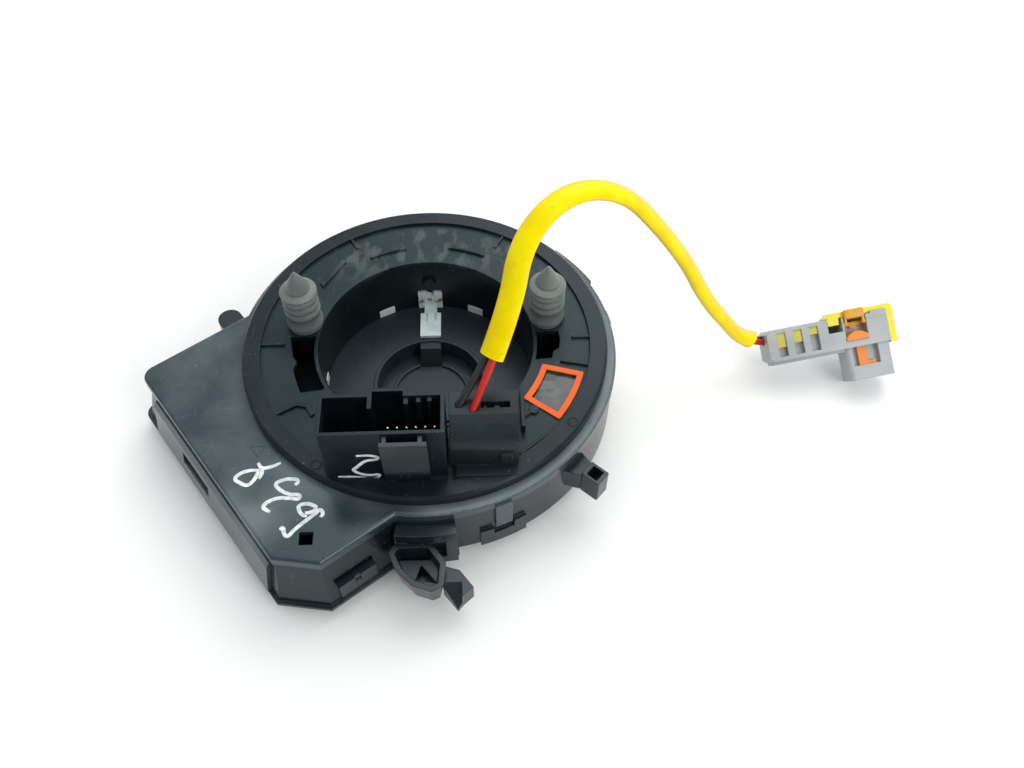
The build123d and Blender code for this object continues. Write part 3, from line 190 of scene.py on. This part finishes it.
bpy.ops.object.select_all(action="DESELECT")
bpy.ops.mesh.primitive_plane_add(size=TABLE_SIZE, location=(0, 0, FEET_Z))
table = bpy.context.object
table.name = "table"
table_finish = Finish("table_white")
table_finish.paint(TABLE_COLOUR, 0.9)
seen = table_finish.node("ShaderNodeLightPath", {}, {}, "Is Camera Ray")
table_finish.feed(table_finish.shader.inputs["Emission Color"], seen * TABLE_GLOW)
table_finish.shader.inputs["Emission Strength"].default_value = 1.0
table_finish.on("table")

world = bpy.data.worlds.new("studio")
world.use_nodes = True
scene.world = world
sky = Finish("sky", world.node_tree)
ray = sky.node("ShaderNodeTexCoord", {}, {}, "Generated")
facing = sky.node(
    "ShaderNodeVectorMath", {"operation": "DOT_PRODUCT"}, {0: ray, 1: SKY_TOWARDS}, "Value")
gradient = sky.mix(sky.between(facing, *SKY_SPAN), SKY_LOW, SKY_HIGH)
seen = sky.node("ShaderNodeLightPath", {}, {}, "Is Camera Ray")
background = world.node_tree.nodes["Background"]
sky.feed(background.inputs["Color"], sky.mix(seen, gradient, (1.0, 1.0, 1.0)))
background.inputs["Strength"].default_value = 1.0


def soft_lamp(name, place, size, watts, tint):
    data = bpy.data.lights.new(name, "AREA")
    data.shape = "DISK"
    data.size = size
    data.energy = watts
    data.color = tint
    lamp = bpy.data.objects.new(name, data)
    aim = -Vector(place)
    aimed = aim.to_track_quat("-Z", "Y").to_matrix().to_4x4()
    lamp.matrix_world = Matrix.Translation(place) @ aimed
    scene.collection.objects.link(lamp)


soft_lamp("key_lamp", (0.24, 0.44, 0.76), 0.8, 3.6, LAMP_TINT)
soft_lamp("fill_lamp", (0.50, -0.50, 0.56), 0.5, 2.6, LAMP_TINT)


def line_curve(name, kind, points, radii, closed=False):
    """A curve through or near the points, in millimetres, with a radius at each."""
    curve = bpy.data.curves.new(name, "CURVE")
    curve.dimensions = "3D"
    spline = curve.splines.new(kind)
    controls = spline.bezier_points if kind == "BEZIER" else spline.points
    controls.add(len(points) - 1)
    for control, place, radius in zip(controls, points, radii):
        control.co = Vector(place) * MM if kind == "BEZIER" else (*(Vector(place) * MM), 1)
        control.radius = radius
        if kind == "BEZIER":
            control.handle_left_type = "AUTO"
            control.handle_right_type = "AUTO"
    spline.use_cyclic_u = closed
    spline.resolution_u = 10
    if kind == "NURBS":
        spline.order_u = 3
        spline.use_endpoint_u = True
    line = bpy.data.objects.new(name, curve)
    scene.collection.objects.link(line)
    return line


def only(piece):
    """Select one piece and make it the active one."""
    bpy.ops.object.select_all(action="DESELECT")
    piece.select_set(True)
    bpy.context.view_layer.objects.active = piece


def made_mesh(piece):
    only(piece)
    bpy.ops.object.convert(target="MESH")
    bpy.ops.object.shade_smooth_by_angle(angle=math.radians(40))
    return bpy.context.object


def settle(piece):
    only(piece)
    bpy.ops.object.transform_apply(location=True, rotation=True, scale=True)
    return piece


def stroke(name, points, width, thick, turn=None, at=(0, 0, 0), closed=False, ends=(0.8, 0.7)):
    """A flat line of paint or moulding on a face: points in the face's plane, width, thickness."""
    radii = [1.0] * len(points)
    if not closed:
        radii[0], radii[-1] = ends
    line = line_curve(name, "BEZIER", [(x, y, 0) for x, y in points], radii, closed)
    line.data.bevel_depth = width / 2 * MM
    line.data.bevel_resolution = 2
    line.data.use_fill_caps = not closed
    line.data.splines[0].resolution_u = 5
    line = made_mesh(line)
    line.scale = (1, 1, thick / width)
    settle(line)
    if turn:
        line.rotation_euler = turn
    line.location = Vector(at) * MM
    return settle(line)


# ---- Fixed housing ----
# Shell, cover plate, side panel and ribbon tray are injection-moulded black
# plastic, with blotches of painted sheen. The cover snaps over catches round the shell's wall.
PLATE_Z = 19.7
HOUSING_SHINE = {"IOR": 1.62, "Specular_Tint": (0.78, 0.93, 1.0)}
SHELL_SHINE = {"IOR": 1.5, "Specular_Tint": (0.82, 0.95, 1.0)}
BOX_WAY = (-0.809, -0.588)
BOX_STARTS = (0.042, 0.046)
CORNER_STARTS = (0.018, 0.030)
SKIRT_ENDS = (0.0188, 0.0195)
# painted shade: how far the painted sheen is cut back at the box's near corner and on the ring's wall
CORNER_SHADE = 0.75
SKIRT_SHADE = 0.8
PAINT_WIDTH = 1.0
PAINT_THICK = 0.08
NUMERALS = {
    "six_stem": [(-42.4, -36.1), (-41.2, -37.6), (-39.2, -37.4), (-36.6, -36.3)],
    "six_tail": [(-41.2, -37.6), (-41.1, -39.1), (-41.6, -40.8)],
    "six_loop": [(-42.2, -38.2), (-44.9, -38.4), (-47.0, -39.5), (-47.6, -40.6), (-46.2, -41.8),
                 (-44.4, -42.5), (-43.1, -41.4), (-42.3, -39.6), (-42.0, -37.9)],
    "three": [(-32.4, -42.9), (-31.8, -41.8), (-33.6, -41.1), (-36.1, -41.6), (-37.2, -42.4),
              (-36.3, -43.9), (-33.9, -45.4), (-30.9, -46.4), (-33.6, -46.6), (-36.1, -46.5),
              (-38.2, -47.2), (-39.3, -48.0), (-39.7, -48.9), (-38.9, -49.7), (-37.9, -50.3)],
    "nine_loop": [(-29.3, -50.9), (-27.8, -50.7), (-26.7, -49.6), (-27.7, -48.7), (-29.7, -48.4),
                  (-30.9, -48.9), (-30.8, -50.0), (-29.7, -51.5), (-28.7, -51.8)],
    "nine_leg": [(-25.3, -52.2), (-24.9, -51.1), (-25.7, -50.2), (-26.6, -51.0), (-28.4, -52.6),
                 (-30.2, -54.2), (-31.8, -55.8), (-33.1, -57.1), (-33.9, -56.2), (-34.5, -54.8),
                 (-34.9, -55.4)],
}
TRIANGLE = [(-45.0, -31.1), (-41.2, -31.2), (-42.6, -34.3)]
MARK_WIDTH = 0.35
MARK_THICK = 0.3


def black_moulding(name, dark, light, roughness, smudge, **fixed):
    """Black plastic with blotches of painted sheen, which are also smudges in the roughness, with hair
    scratches and dust.

    The painted sheen thins at the sensor box's near corner and on the ring's wall, which are thus
    painted darker as painted shade; light is the painted sheen's colour.
    """
    made = Finish(name, **fixed)
    sheen_blotches = made.between(made.noise(15.0, 3.0), 0.46, 0.54)
    cloud = made.between(made.noise(90.0, 5.0), 0.35, 0.7)
    x, y, z = made.axes()
    out = x * BOX_WAY[0] + y * BOX_WAY[1]
    near = x * -BOX_WAY[1] + y * BOX_WAY[0]
    on_box = made.between(out, *BOX_STARTS)
    corner = made.between(near, *CORNER_STARTS) * on_box
    skirt = (1.0 - on_box) * (1.0 - made.between(z, *SKIRT_ENDS))
    sheen_and_smudge = made.between(sheen_blotches * 0.65 + cloud * 0.35, 0.0, 1.0)
    # painted shade: the sheen is cut back at the sensor box's near corner and on the ring's wall below
    # the plate
    sheen_and_smudge = sheen_and_smudge * (1.0 - corner * CORNER_SHADE) * (1.0 - skirt * SKIRT_SHADE)
    speck = made.between(made.noise(1300.0, 2.0), 0.71, 0.76)
    scratch = made.between(made.noise(50.0, 2.0, (1.0, 22.0, 6.0)), 0.70, 0.74)
    # painted sheen: the blotches lighten the colour from dark towards light, the painted sheen's colour
    colour = made.mix(sheen_and_smudge, dark, light)
    colour = made.mix(scratch * 0.12 + speck * 0.35, colour, DUST)
    made.paint(colour, sheen_and_smudge * smudge + roughness)
    made.relief(made.noise(420.0), 0.000012, 0.00035)
    return made


# the cover's pale tone is a painted sheen; shell_black is the same plastic with far less painted sheen
housing_finish = black_moulding(
    "housing_black", (0.012, 0.021, 0.028), (0.130, 0.152, 0.158), 0.20, 0.16, **HOUSING_SHINE)
housing_finish.on("top_cover", "side_panel")
shell_finish = black_moulding(
    "shell_black", (0.005, 0.009, 0.012), (0.028, 0.036, 0.038), 0.22, 0.16, **SHELL_SHINE)
shell_finish.on("base_shell", "ribbon_guide")

paint_finish = Finish("marker_white", IOR=1.45)
thin = paint_finish.between(paint_finish.noise(900.0, 4.0), 0.38, 0.62)
paint_finish.paint(paint_finish.mix(thin, (0.60, 0.64, 0.66), (0.86, 0.88, 0.88)), thin * 0.2 + 0.4)
paint_finish.relief(thin, 0.00001)
for name, points in NUMERALS.items():
    piece = stroke(f"numeral_{name}", points, PAINT_WIDTH, PAINT_THICK, at=(0, 0, PLATE_Z))
    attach(piece, "housing")
    paint_finish.on(piece.name)

corners = TRIANGLE + TRIANGLE[:1]
for i in range(len(TRIANGLE)):
    side = stroke(f"triangle_mark_{i}", corners[i:i + 2], MARK_WIDTH, MARK_THICK,
                  at=(0, 0, PLATE_Z), ends=(1, 1))
    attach(side, "housing")
    housing_finish.on(side.name)


# ---- Angle sensor ----
# A green board with small chips lies in the box over two white magnet gears, which
# mesh with the rotor's toothed ring. Twelve tinned pins lead out below.
board_finish = moulded("board_green", (0.015, 0.09, 0.035), (0.025, 0.15, 0.06), 0.3)
board_finish.on("sensor_board")
chip_finish = moulded("chip_black", (0.01, 0.01, 0.01), (0.03, 0.03, 0.03), 0.4)
chip_finish.on("sensor_chips")
pin_finish = moulded("pin_metal", (0.62, 0.58, 0.46), (0.78, 0.74, 0.60), 0.2, dust=0.05, Metallic=1.0)
pin_finish.on("column_pins", "header_pins")
gear_finish = moulded("acetal_white", (0.70, 0.78, 0.80), (0.80, 0.86, 0.86), 0.3)
gear_finish.on("sensor_gear", "magnet_gear_a", "magnet_gear_b")
magnet_finish = moulded("magnet_grey", (0.03, 0.03, 0.032), (0.07, 0.07, 0.072), 0.4)
magnet_finish.on("magnet_a", "magnet_b")
film_finish = moulded("ribbon_film", (0.50, 0.52, 0.56), (0.66, 0.68, 0.71), 0.2, dust=0.0)
film_finish.on("ribbon_cable")


# ---- Rotor ----
# One deep black moulding: a rolled rim, a sunk floor and the bore, with the header
# standing on it. It is blacker than the housing; its floor is painted paler as a painted sheen, with
# handling smears towards the back.
RIM_IN = 45.1 * MM
RIM_LINE = 0.4 * MM
FLOOR_TOP = (0.0235, 0.0225)
FLOOR_LOW = (0.0205, 0.0215)
SMEAR_Y = (0.022, 0.031)
SMEAR_R = (0.044, 0.042)
TONGUE_Z = (0.026, 0.028)
TONGUE_Y = (0.0001, 0.0004)
ROTOR_SHINE = {"IOR": 1.36, "Specular_Tint": (0.75, 0.92, 1.0)}
HEADER_MARK = [(-15.6, 33.0), (-11.8, 32.8), (-10.5, 31.8), (-13.5, 30.6), (-16.0, 27.9),
               (-16.9, 26.6), (-15.6, 24.8), (-13.3, 23.9), (-10.9, 23.7), (-18.4, 23.4), (-21.1, 23.6)]
HEADER_FRONT = -43.2
RIM_CIRCLES = ((-27.0, -39.2), (38.3, -28.6))
RIM_CIRCLE_R = 1.3
RIM_Z = 23.0

rotor_finish = Finish("rotor_black", **ROTOR_SHINE)
x, y, z = rotor_finish.axes()
flat = rotor_finish.node("ShaderNodeCombineXYZ", {}, {0: x, 1: y})
radius = rotor_finish.node("ShaderNodeVectorMath", {"operation": "LENGTH"}, {0: flat}, "Value")
inside = rotor_finish.between(radius, RIM_IN + RIM_LINE, RIM_IN - RIM_LINE)
low_down = rotor_finish.between(z, *FLOOR_TOP)
not_deep = rotor_finish.between(z, *FLOOR_LOW)
floor = inside * low_down * not_deep
cloud = rotor_finish.between(rotor_finish.noise(80.0, 5.0), 0.36, 0.68)
at_back = rotor_finish.between(y, *SMEAR_Y) * rotor_finish.between(radius, *SMEAR_R)
smear = rotor_finish.between(rotor_finish.noise(260.0, 3.0, (1.0, 0.55, 1.0)), 0.50, 0.62)
smear = smear * at_back * floor
scratch = rotor_finish.between(rotor_finish.noise(60.0, 2.0, (24.0, 1.0, 3.0)), 0.71, 0.75)
speck = rotor_finish.between(rotor_finish.noise(1200.0, 2.0), 0.70, 0.75)
colour = rotor_finish.mix(cloud, (0.0035, 0.006, 0.009), (0.009, 0.014, 0.018))
# painted sheen: the sunk floor is painted paler than the rim
floor_sheen_colour = rotor_finish.mix(cloud, (0.006, 0.012, 0.014), (0.016, 0.026, 0.029))
colour = rotor_finish.mix(floor, colour, floor_sheen_colour)
# painted light: the latch tongue, which faces up and forward, is painted paler
lit_tongue = rotor_finish.between(y, *(HEADER_FRONT * MM - step for step in TONGUE_Y))
lit_tongue = lit_tongue * rotor_finish.between(z, *TONGUE_Z)
colour = rotor_finish.mix(lit_tongue * 0.6, colour, (0.060, 0.076, 0.078))
colour = rotor_finish.mix(smear * 0.3 + scratch * 0.1 + speck * 0.3, colour, DUST)
rotor_finish.paint(colour, floor * 0.05 + cloud * 0.12 + smear * 0.2 + 0.28)
rotor_finish.relief(rotor_finish.noise(500.0), 0.000012, 0.0003)
rotor_finish.on("rotor_disc")

mark = stroke("header_mark", HEADER_MARK, PAINT_WIDTH, PAINT_THICK,
              (math.radians(90), 0, 0), (0, HEADER_FRONT, 0))
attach(mark, "rotor")
paint_finish.on(mark.name)

for i, (x, y) in enumerate(RIM_CIRCLES):
    angles = [math.radians(45 * n) for n in range(8)]
    ring = [(x + RIM_CIRCLE_R * math.cos(a), y + RIM_CIRCLE_R * math.sin(a)) for a in angles]
    circle = stroke(f"rim_circle_{i}", ring, MARK_WIDTH, MARK_THICK, at=(0, 0, RIM_Z), closed=True)
    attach(circle, "rotor")
    rotor_finish.on(circle.name)


# ---- Hub ----
# The keyed ring is snapped under the bore and carries a thin disc that keeps dirt
# out until the column passes through. Both are the rotor's black plastic, duller.
hub_finish = black_moulding(
    "hub_black", (0.016, 0.023, 0.028), (0.036, 0.046, 0.050), 0.34, 0.12, **ROTOR_SHINE)
hub_finish.on("hub_ring", "transit_plug")


# ---- Drive pins ----
# Two barbed pins of soft grey plastic are pressed into the rotor's floor, and take
# the steering wheel's drive. Each is a cone, a shoulder, three barbs and a flared skirt.
PIN_PLACES = {"left": (-33.6, 8.05), "right": (33.6, 8.05)}
PIN_TOP = 42.4
# depth below the tip, and radius
PIN_PROFILE = [
    (0.0, 0.12), (0.35, 0.55), (3.0, 2.05), (5.4, 3.25), (5.8, 3.35), (5.95, 3.0), (6.15, 3.5),
    (6.8, 4.85), (7.1, 5.05), (7.35, 4.95), (7.5, 4.05), (7.95, 3.95), (8.5, 4.6), (9.2, 4.9),
    (9.65, 4.85), (9.8, 4.1), (10.25, 4.05), (10.9, 4.7), (11.7, 4.98), (12.15, 4.92), (12.3, 4.2),
    (12.75, 4.2), (13.4, 4.8), (14.1, 5.05), (14.5, 4.98), (15.0, 4.7), (16.5, 4.6), (17.8, 4.8),
    (18.5, 5.1), (18.95, 5.12), (19.2, 4.85), (20.3, 4.82),
]
drive_finish = moulded(
    "pin_grey", (0.130, 0.152, 0.148), (0.200, 0.222, 0.214), 0.42, 0.0004, 0.3, IOR=1.45)
for side, (x, y) in PIN_PLACES.items():
    points = [(x, y, PIN_TOP - down) for down, _ in PIN_PROFILE]
    pin = line_curve(f"barbed_pin_{side}", "POLY", points, [wide for _, wide in PIN_PROFILE])
    pin.data.bevel_depth = MM
    pin.data.bevel_resolution = 12
    pin.data.use_fill_caps = True
    pin = made_mesh(pin)
    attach(pin, "rotor")
    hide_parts(f"drive_pin_{side}")
    drive_finish.on(pin.name)


# ---- Wire block ----
# The squib wires are crimped in a black block, closed in front by a cap with a
# rounded shoulder. Both are clipped to the rotor's floor beside the header.
SLOT_TEETH = ((15.6, 0.8), (18.6, 1.3))
SLOT_Y = (-32.7, -30.9)
SLOT_Z = (31.6, 36.2)
TOOTH_REACH = 0.55
TOOTH_BEVEL = 0.15
block_finish = black_moulding(
    "block_black", (0.004, 0.007, 0.010), (0.014, 0.020, 0.022), 0.26, 0.14, **ROTOR_SHINE)
block_finish.on("wire_block", "wire_cap")
for i, (x, width) in enumerate(SLOT_TEETH):
    depth = (SLOT_Y[1] - SLOT_Y[0]) * TOOTH_REACH
    middle = (x, SLOT_Y[0] + depth / 2, sum(SLOT_Z) / 2)
    bpy.ops.mesh.primitive_cube_add(size=1, location=Vector(middle) * MM)
    tooth = bpy.context.object
    tooth.name = f"slot_tooth_{i}"
    tooth.scale = Vector((width, depth, SLOT_Z[1] - SLOT_Z[0])) * MM
    settle(tooth)
    bpy.ops.object.mode_set(mode="EDIT")
    bpy.ops.mesh.select_all(action="SELECT")
    bpy.ops.mesh.bevel(offset=TOOTH_BEVEL * MM, segments=2)
    bpy.ops.object.mode_set(mode="OBJECT")
    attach(tooth, "rotor")
    block_finish.on(tooth.name)


# ---- Centre mark window ----
# An orange moulded frame holds a smoked lens over the ring's centre mark. It is
# pressed into the rotor's floor.
WINDOW_AZ = math.radians(-27)
BARS_R = (0.0388, 0.0372)
frame_finish = moulded(
    "window_orange", (0.72, 0.085, 0.008), (0.86, 0.135, 0.014), 0.36, dust=0.1,
    Specular_Tint=(1.0, 0.7, 0.5))
frame_finish.on("window_frame")
lens_finish = Finish("lens_smoked", IOR=1.5)
x, y, z = lens_finish.axes()
outward = x * math.cos(WINDOW_AZ) + y * math.sin(WINDOW_AZ)
cloud = lens_finish.between(lens_finish.noise(220.0, 4.0), 0.4, 0.65)
grey = lens_finish.mix(cloud, (0.038, 0.052, 0.055), (0.070, 0.086, 0.090))
near = lens_finish.between(outward, *BARS_R)
bars = lens_finish.between(lens_finish.noise(420.0, 1.0, (0.5, 1.0, 1.0)), 0.50, 0.56) * near
lens_finish.paint(lens_finish.mix(bars * 0.85, grey, (0.010, 0.014, 0.018)), 0.24)
lens_finish.relief(lens_finish.noise(300.0), 0.00001)
lens_finish.on("window_lens")


# ---- Drive dog ----
# A white block in the bore's back wall keys the toothed ring to the rotor. Brown
# grease has gathered in its waist.
GREASE_Z = (5.4 * MM, 6.6 * MM)
GREASE_FADE = 0.8 * MM
dog_finish = Finish("dog_white", IOR=1.5)
x, y, z = dog_finish.axes()
rising = dog_finish.between(z, GREASE_Z[0] - GREASE_FADE, GREASE_Z[0])
falling = dog_finish.between(z, GREASE_Z[1] + GREASE_FADE, GREASE_Z[1])
blots = dog_finish.between(dog_finish.noise(520.0, 3.0), 0.44, 0.56)
cloud = dog_finish.between(dog_finish.noise(200.0), 0.4, 0.6)
white = dog_finish.mix(cloud, (0.56, 0.66, 0.68), (0.72, 0.80, 0.80))
dog_finish.paint(dog_finish.mix(rising * falling * blots, white, (0.20, 0.13, 0.035)), 0.35)
dog_finish.relief(blots, 0.00003, 0.0002)
dog_finish.on("drive_dog")


# ---- Squib plug ----
# A pale grey housing with its nose set across, a yellow insert behind three slots,
# an orange release button and stem, an amber clip and a yellow position lock.
plug_finish = moulded("plug_grey", (0.33, 0.355, 0.37), (0.45, 0.475, 0.485), 0.34, 0.0003, 0.25)
plug_finish.on("plug_body")
insert_finish = moulded("plug_pale_yellow", (0.50, 0.42, 0.04), (0.66, 0.58, 0.07), 0.34)
insert_finish.on("plug_insert")
button_finish = moulded("plug_orange", (0.72, 0.17, 0.012), (0.88, 0.25, 0.02), 0.32, dust=0.05)
button_finish.on("plug_button", "plug_stem")
PLUG_ALONG = Vector((0.986, 0.113, 0.120)).normalized()
PLUG_CORNER = Vector((99.3, 5.0, 8.8))
PLUG_FACE = Vector((-0.031, -0.587, 0.809)).normalized()
PLUG_UP = PLUG_FACE.cross(PLUG_ALONG)
PLUG_TURN = Matrix((PLUG_ALONG, PLUG_UP, PLUG_FACE)).transposed().to_4x4()
FRONT_WALLS = {
    "plug_front_left": ((22.4, 23.0), (2.85, 4.3)),
    "plug_front_step": ((29.6, 31.2), (2.85, 4.3)),
    "plug_front_right": ((31.0, 35.8), (2.85, 5.0)),
}
FRONT_WALL_Z = (-0.75, 0.0)
FRONT_WALL_BEVEL = 0.12
CLIP_BEVEL = 0.5
CLIP_LEG_BEVEL = 0.1
CLIP_BLOCKS = [
    ((23.3, 29.3), (3.7, 6.6), (-0.7, 0.45)),
    ((23.3, 24.1), (2.2, 4.3), (-0.7, 0.0)),
    ((28.5, 29.3), (2.2, 4.3), (-0.7, 0.0)),
    ((23.05, 24.1), (1.9, 2.85), (-3.35, -0.1)),
    ((28.5, 29.55), (1.9, 2.85), (-3.35, -0.1)),
    ((23.05, 29.55), (1.6, 2.85), (-3.35, -2.4)),
    ((25.2, 27.4), (0.9, 1.8), (-3.35, -2.6)),
]


def plug_block(name, spans, bevel, segments=2):
    """A bevelled block in the plug's own frame: along it, across its face, out of its face."""
    size = [high - low for low, high in spans]
    middle = Vector([(low + high) / 2 for low, high in spans])
    bpy.ops.object.select_all(action="DESELECT")
    bpy.ops.mesh.primitive_cube_add(size=1)
    piece = bpy.context.object
    piece.name = name
    piece.scale = Vector(size) * MM
    settle(piece)
    bpy.ops.object.mode_set(mode="EDIT")
    bpy.ops.mesh.select_all(action="SELECT")
    bpy.ops.mesh.bevel(offset=bevel * MM, segments=segments)
    bpy.ops.object.mode_set(mode="OBJECT")
    centre = PLUG_CORNER + PLUG_TURN.to_3x3() @ middle
    piece.matrix_world = Matrix.Translation(centre * MM) @ PLUG_TURN
    return settle(piece)


for name, (along_span, up_span) in FRONT_WALLS.items():
    piece = plug_block(name, (along_span, up_span, FRONT_WALL_Z), FRONT_WALL_BEVEL)
    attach(piece, "rotor")
    plug_finish.on(name)

clip = plug_block("amber_clip", CLIP_BLOCKS[0], CLIP_BEVEL, 4)
for i, spans in enumerate(CLIP_BLOCKS[1:]):
    part = plug_block(f"clip_part_{i}", spans, CLIP_LEG_BEVEL)
    joint = clip.modifiers.new("joint", "BOOLEAN")
    joint.operation = "UNION"
    joint.object = part
    only(clip)
    bpy.ops.object.modifier_apply(modifier="joint")
    bpy.data.objects.remove(part)
bpy.ops.object.shade_smooth_by_angle(angle=math.radians(40))
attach(clip, "rotor")
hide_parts("plug_clip")

clip_finish = moulded("plug_amber", (0.62, 0.26, 0.006), (0.78, 0.38, 0.01), 0.3, dust=0.05)
clip_finish.on("amber_clip")
lock_finish = moulded("plug_yellow", (0.80, 0.66, 0.004), (0.92, 0.80, 0.012), 0.3, dust=0.05)
lock_finish.on("plug_lock")


# ---- Squib lead ----
# Two thin wires run in a soft yellow tube from the wire block to the squib plug.
# The lead springs up in one arch, and the tube's plug end is cut slantwise.
LEAD = [
    (17.6, -24.6, 46.6), (22.4, -17.8, 57.5), (24.6, -12.0, 70.2), (31.0, -5.8, 76.8),
    (40.3, 0.1, 77.4), (51.3, 4.5, 70.7), (60.9, 5.8, 58.0), (70.0, 6.5, 44.2),
    (77.1, 5.9, 30.3), (85.3, 6.8, 18.6), (90.8, 7.7, 10.6), (97.0, 9.5, 6.4),
]
SLEEVE_WALL = 0.45
SLEEVE_BARE = 2.8
SLEEVE_EXTRA = 2.4
SLEEVE_START = 1.04
SLEEVE_FLARE = 1.12
SLEEVE_OVAL = (3.1, 1.95)
SLANT = math.radians(40)
CUT_TOP = Vector((0, 0.81, 0.59))
WIRE_R = 0.95
WIRE_OFFSET = 1.0
WIRE_SEAT = 2.2
WIRES = {"red": ((12.9, -32.6, 36.6), 1), "black": ((9.6, -31.2, 36.6), -1)}
WIRE_COLOURS = {
    "red": ((0.42, 0.010, 0.006), (0.66, 0.030, 0.012)),
    "black": ((0.008, 0.010, 0.010), (0.028, 0.034, 0.034)),
}


def centre_line(points):
    """Points along the smooth route, in metres."""
    line = line_curve("route", "NURBS", points, [1.0] * len(points))
    mesh = bpy.data.meshes.new_from_object(line)
    path = [vertex.co.copy() for vertex in mesh.vertices]
    bpy.data.objects.remove(line)
    return path


def cord_tube(name, points, radius):
    cord = line_curve(name, "NURBS", points, [1.0] * len(points))
    cord.data.bevel_depth = radius * MM
    cord.data.bevel_resolution = 6
    cord.data.use_fill_caps = True
    return made_mesh(cord)


def oval_tube(name, points, wide, narrow, flares):
    """An open tube of oval section, its wide way level, scaled along its route by the flares."""
    bpy.ops.object.select_all(action="DESELECT")
    bpy.ops.curve.primitive_bezier_circle_add(radius=MM)
    section = bpy.context.object
    section.scale = (wide, narrow, 1)
    settle(section)
    section.data.resolution_u = 6
    tube = line_curve(name, "NURBS", points, flares)
    tube.data.twist_mode = "Z_UP"
    tube.data.bevel_mode = "OBJECT"
    tube.data.bevel_object = section
    tube = made_mesh(tube)
    bpy.data.objects.remove(section)
    return tube


first, middle, last = (Vector(LEAD[i]) for i in (0, len(LEAD) // 2, -1))
side_way = (last - first).cross(middle - first).normalized()
lead_ahead = (last - Vector(LEAD[-2])).normalized()
wire_ahead = (lead_ahead * 0.7 + PLUG_ALONG * 0.3).normalized()
plug_pieces = [name for name in nodes if name.startswith("plug_") and name != "plug_clip"]
plug_pieces += ["amber_clip", *FRONT_WALLS]
for tint, (exit_point, side) in WIRES.items():
    shared = [Vector(point) + side_way * WIRE_OFFSET * side for point in LEAD]
    exit_point = Vector(exit_point)
    start = exit_point - (shared[0] - exit_point).normalized() * WIRE_SEAT
    depth = WIRE_SEAT - (shared[-1] - PLUG_CORNER).dot(PLUG_ALONG)
    end = shared[-1] + wire_ahead * (depth / wire_ahead.dot(PLUG_ALONG))
    route = [start] + shared + [end]
    wire = cord_tube(f"{tint}_wire", route, WIRE_R)
    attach(wire, "rotor")
    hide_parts(f"wire_{tint}")
    start * MM
    centre_line(route)
    wire_finish = Finish(f"wire_{tint}", IOR=1.5)
    wire_finish.paint(wire_finish.mix(wire_finish.noise(260.0), *WIRE_COLOURS[tint]), 0.36)
    wire_finish.relief(wire_finish.noise(900.0), 0.00001)
    wire_finish.on(wire.name)

sleeve_route = [Vector(point) for point in LEAD]
sleeve_route[-1] -= lead_ahead * SLEEVE_BARE
sleeve_path = centre_line(sleeve_route)
cut_at = sleeve_route[-1].copy()
sleeve_route[-1] += lead_ahead * SLEEVE_EXTRA
flares = [SLEEVE_START] + [1.0] * (len(LEAD) - 2) + [SLEEVE_FLARE]
sleeve = oval_tube("yellow_sleeve", sleeve_route, *SLEEVE_OVAL, flares)
cut_up = (CUT_TOP - lead_ahead * CUT_TOP.dot(lead_ahead)).normalized()
cut_way = lead_ahead * math.cos(SLANT) - cut_up * math.sin(SLANT)
bpy.ops.object.mode_set(mode="EDIT")
bpy.ops.mesh.select_all(action="SELECT")
bpy.ops.mesh.bisect(plane_co=cut_at * MM, plane_no=cut_way, clear_outer=True)
bpy.ops.object.mode_set(mode="OBJECT")
wall = sleeve.modifiers.new("wall", "SOLIDIFY")
wall.thickness = SLEEVE_WALL * MM
wall.offset = -1
only(sleeve)
bpy.ops.object.modifier_apply(modifier="wall")
bpy.ops.object.shade_smooth_by_angle(angle=math.radians(50))
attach(sleeve, "rotor")
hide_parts("lead_sleeve")

sleeve_finish = Finish("sleeve_yellow", IOR=1.4, Specular_Tint=(1.0, 0.86, 0.25))
# painted shade: the tube turns orange towards its edges, where it faces away
grazing = sleeve_finish.node("ShaderNodeLayerWeight", {}, {"Blend": 0.35}, "Facing")
edge_shade = sleeve_finish.between(grazing, 0.35, 0.9)
tone = sleeve_finish.between(sleeve_finish.noise(110.0, 4.0), 0.4, 0.62)
yellow = sleeve_finish.mix(tone, (0.93, 0.70, 0.0), (1.0, 0.82, 0.0))
stain = sleeve_finish.between(sleeve_finish.noise(330.0, 4.0), 0.66, 0.74)
yellow = sleeve_finish.mix(edge_shade, yellow, (0.80, 0.40, 0.0))
sleeve_finish.paint(sleeve_finish.mix(stain * 0.35, yellow, (0.45, 0.30, 0.05)), tone * 0.12 + 0.3)
sleeve_finish.relief(sleeve_finish.noise(380.0), 0.00002)
sleeve_finish.on("yellow_sleeve")
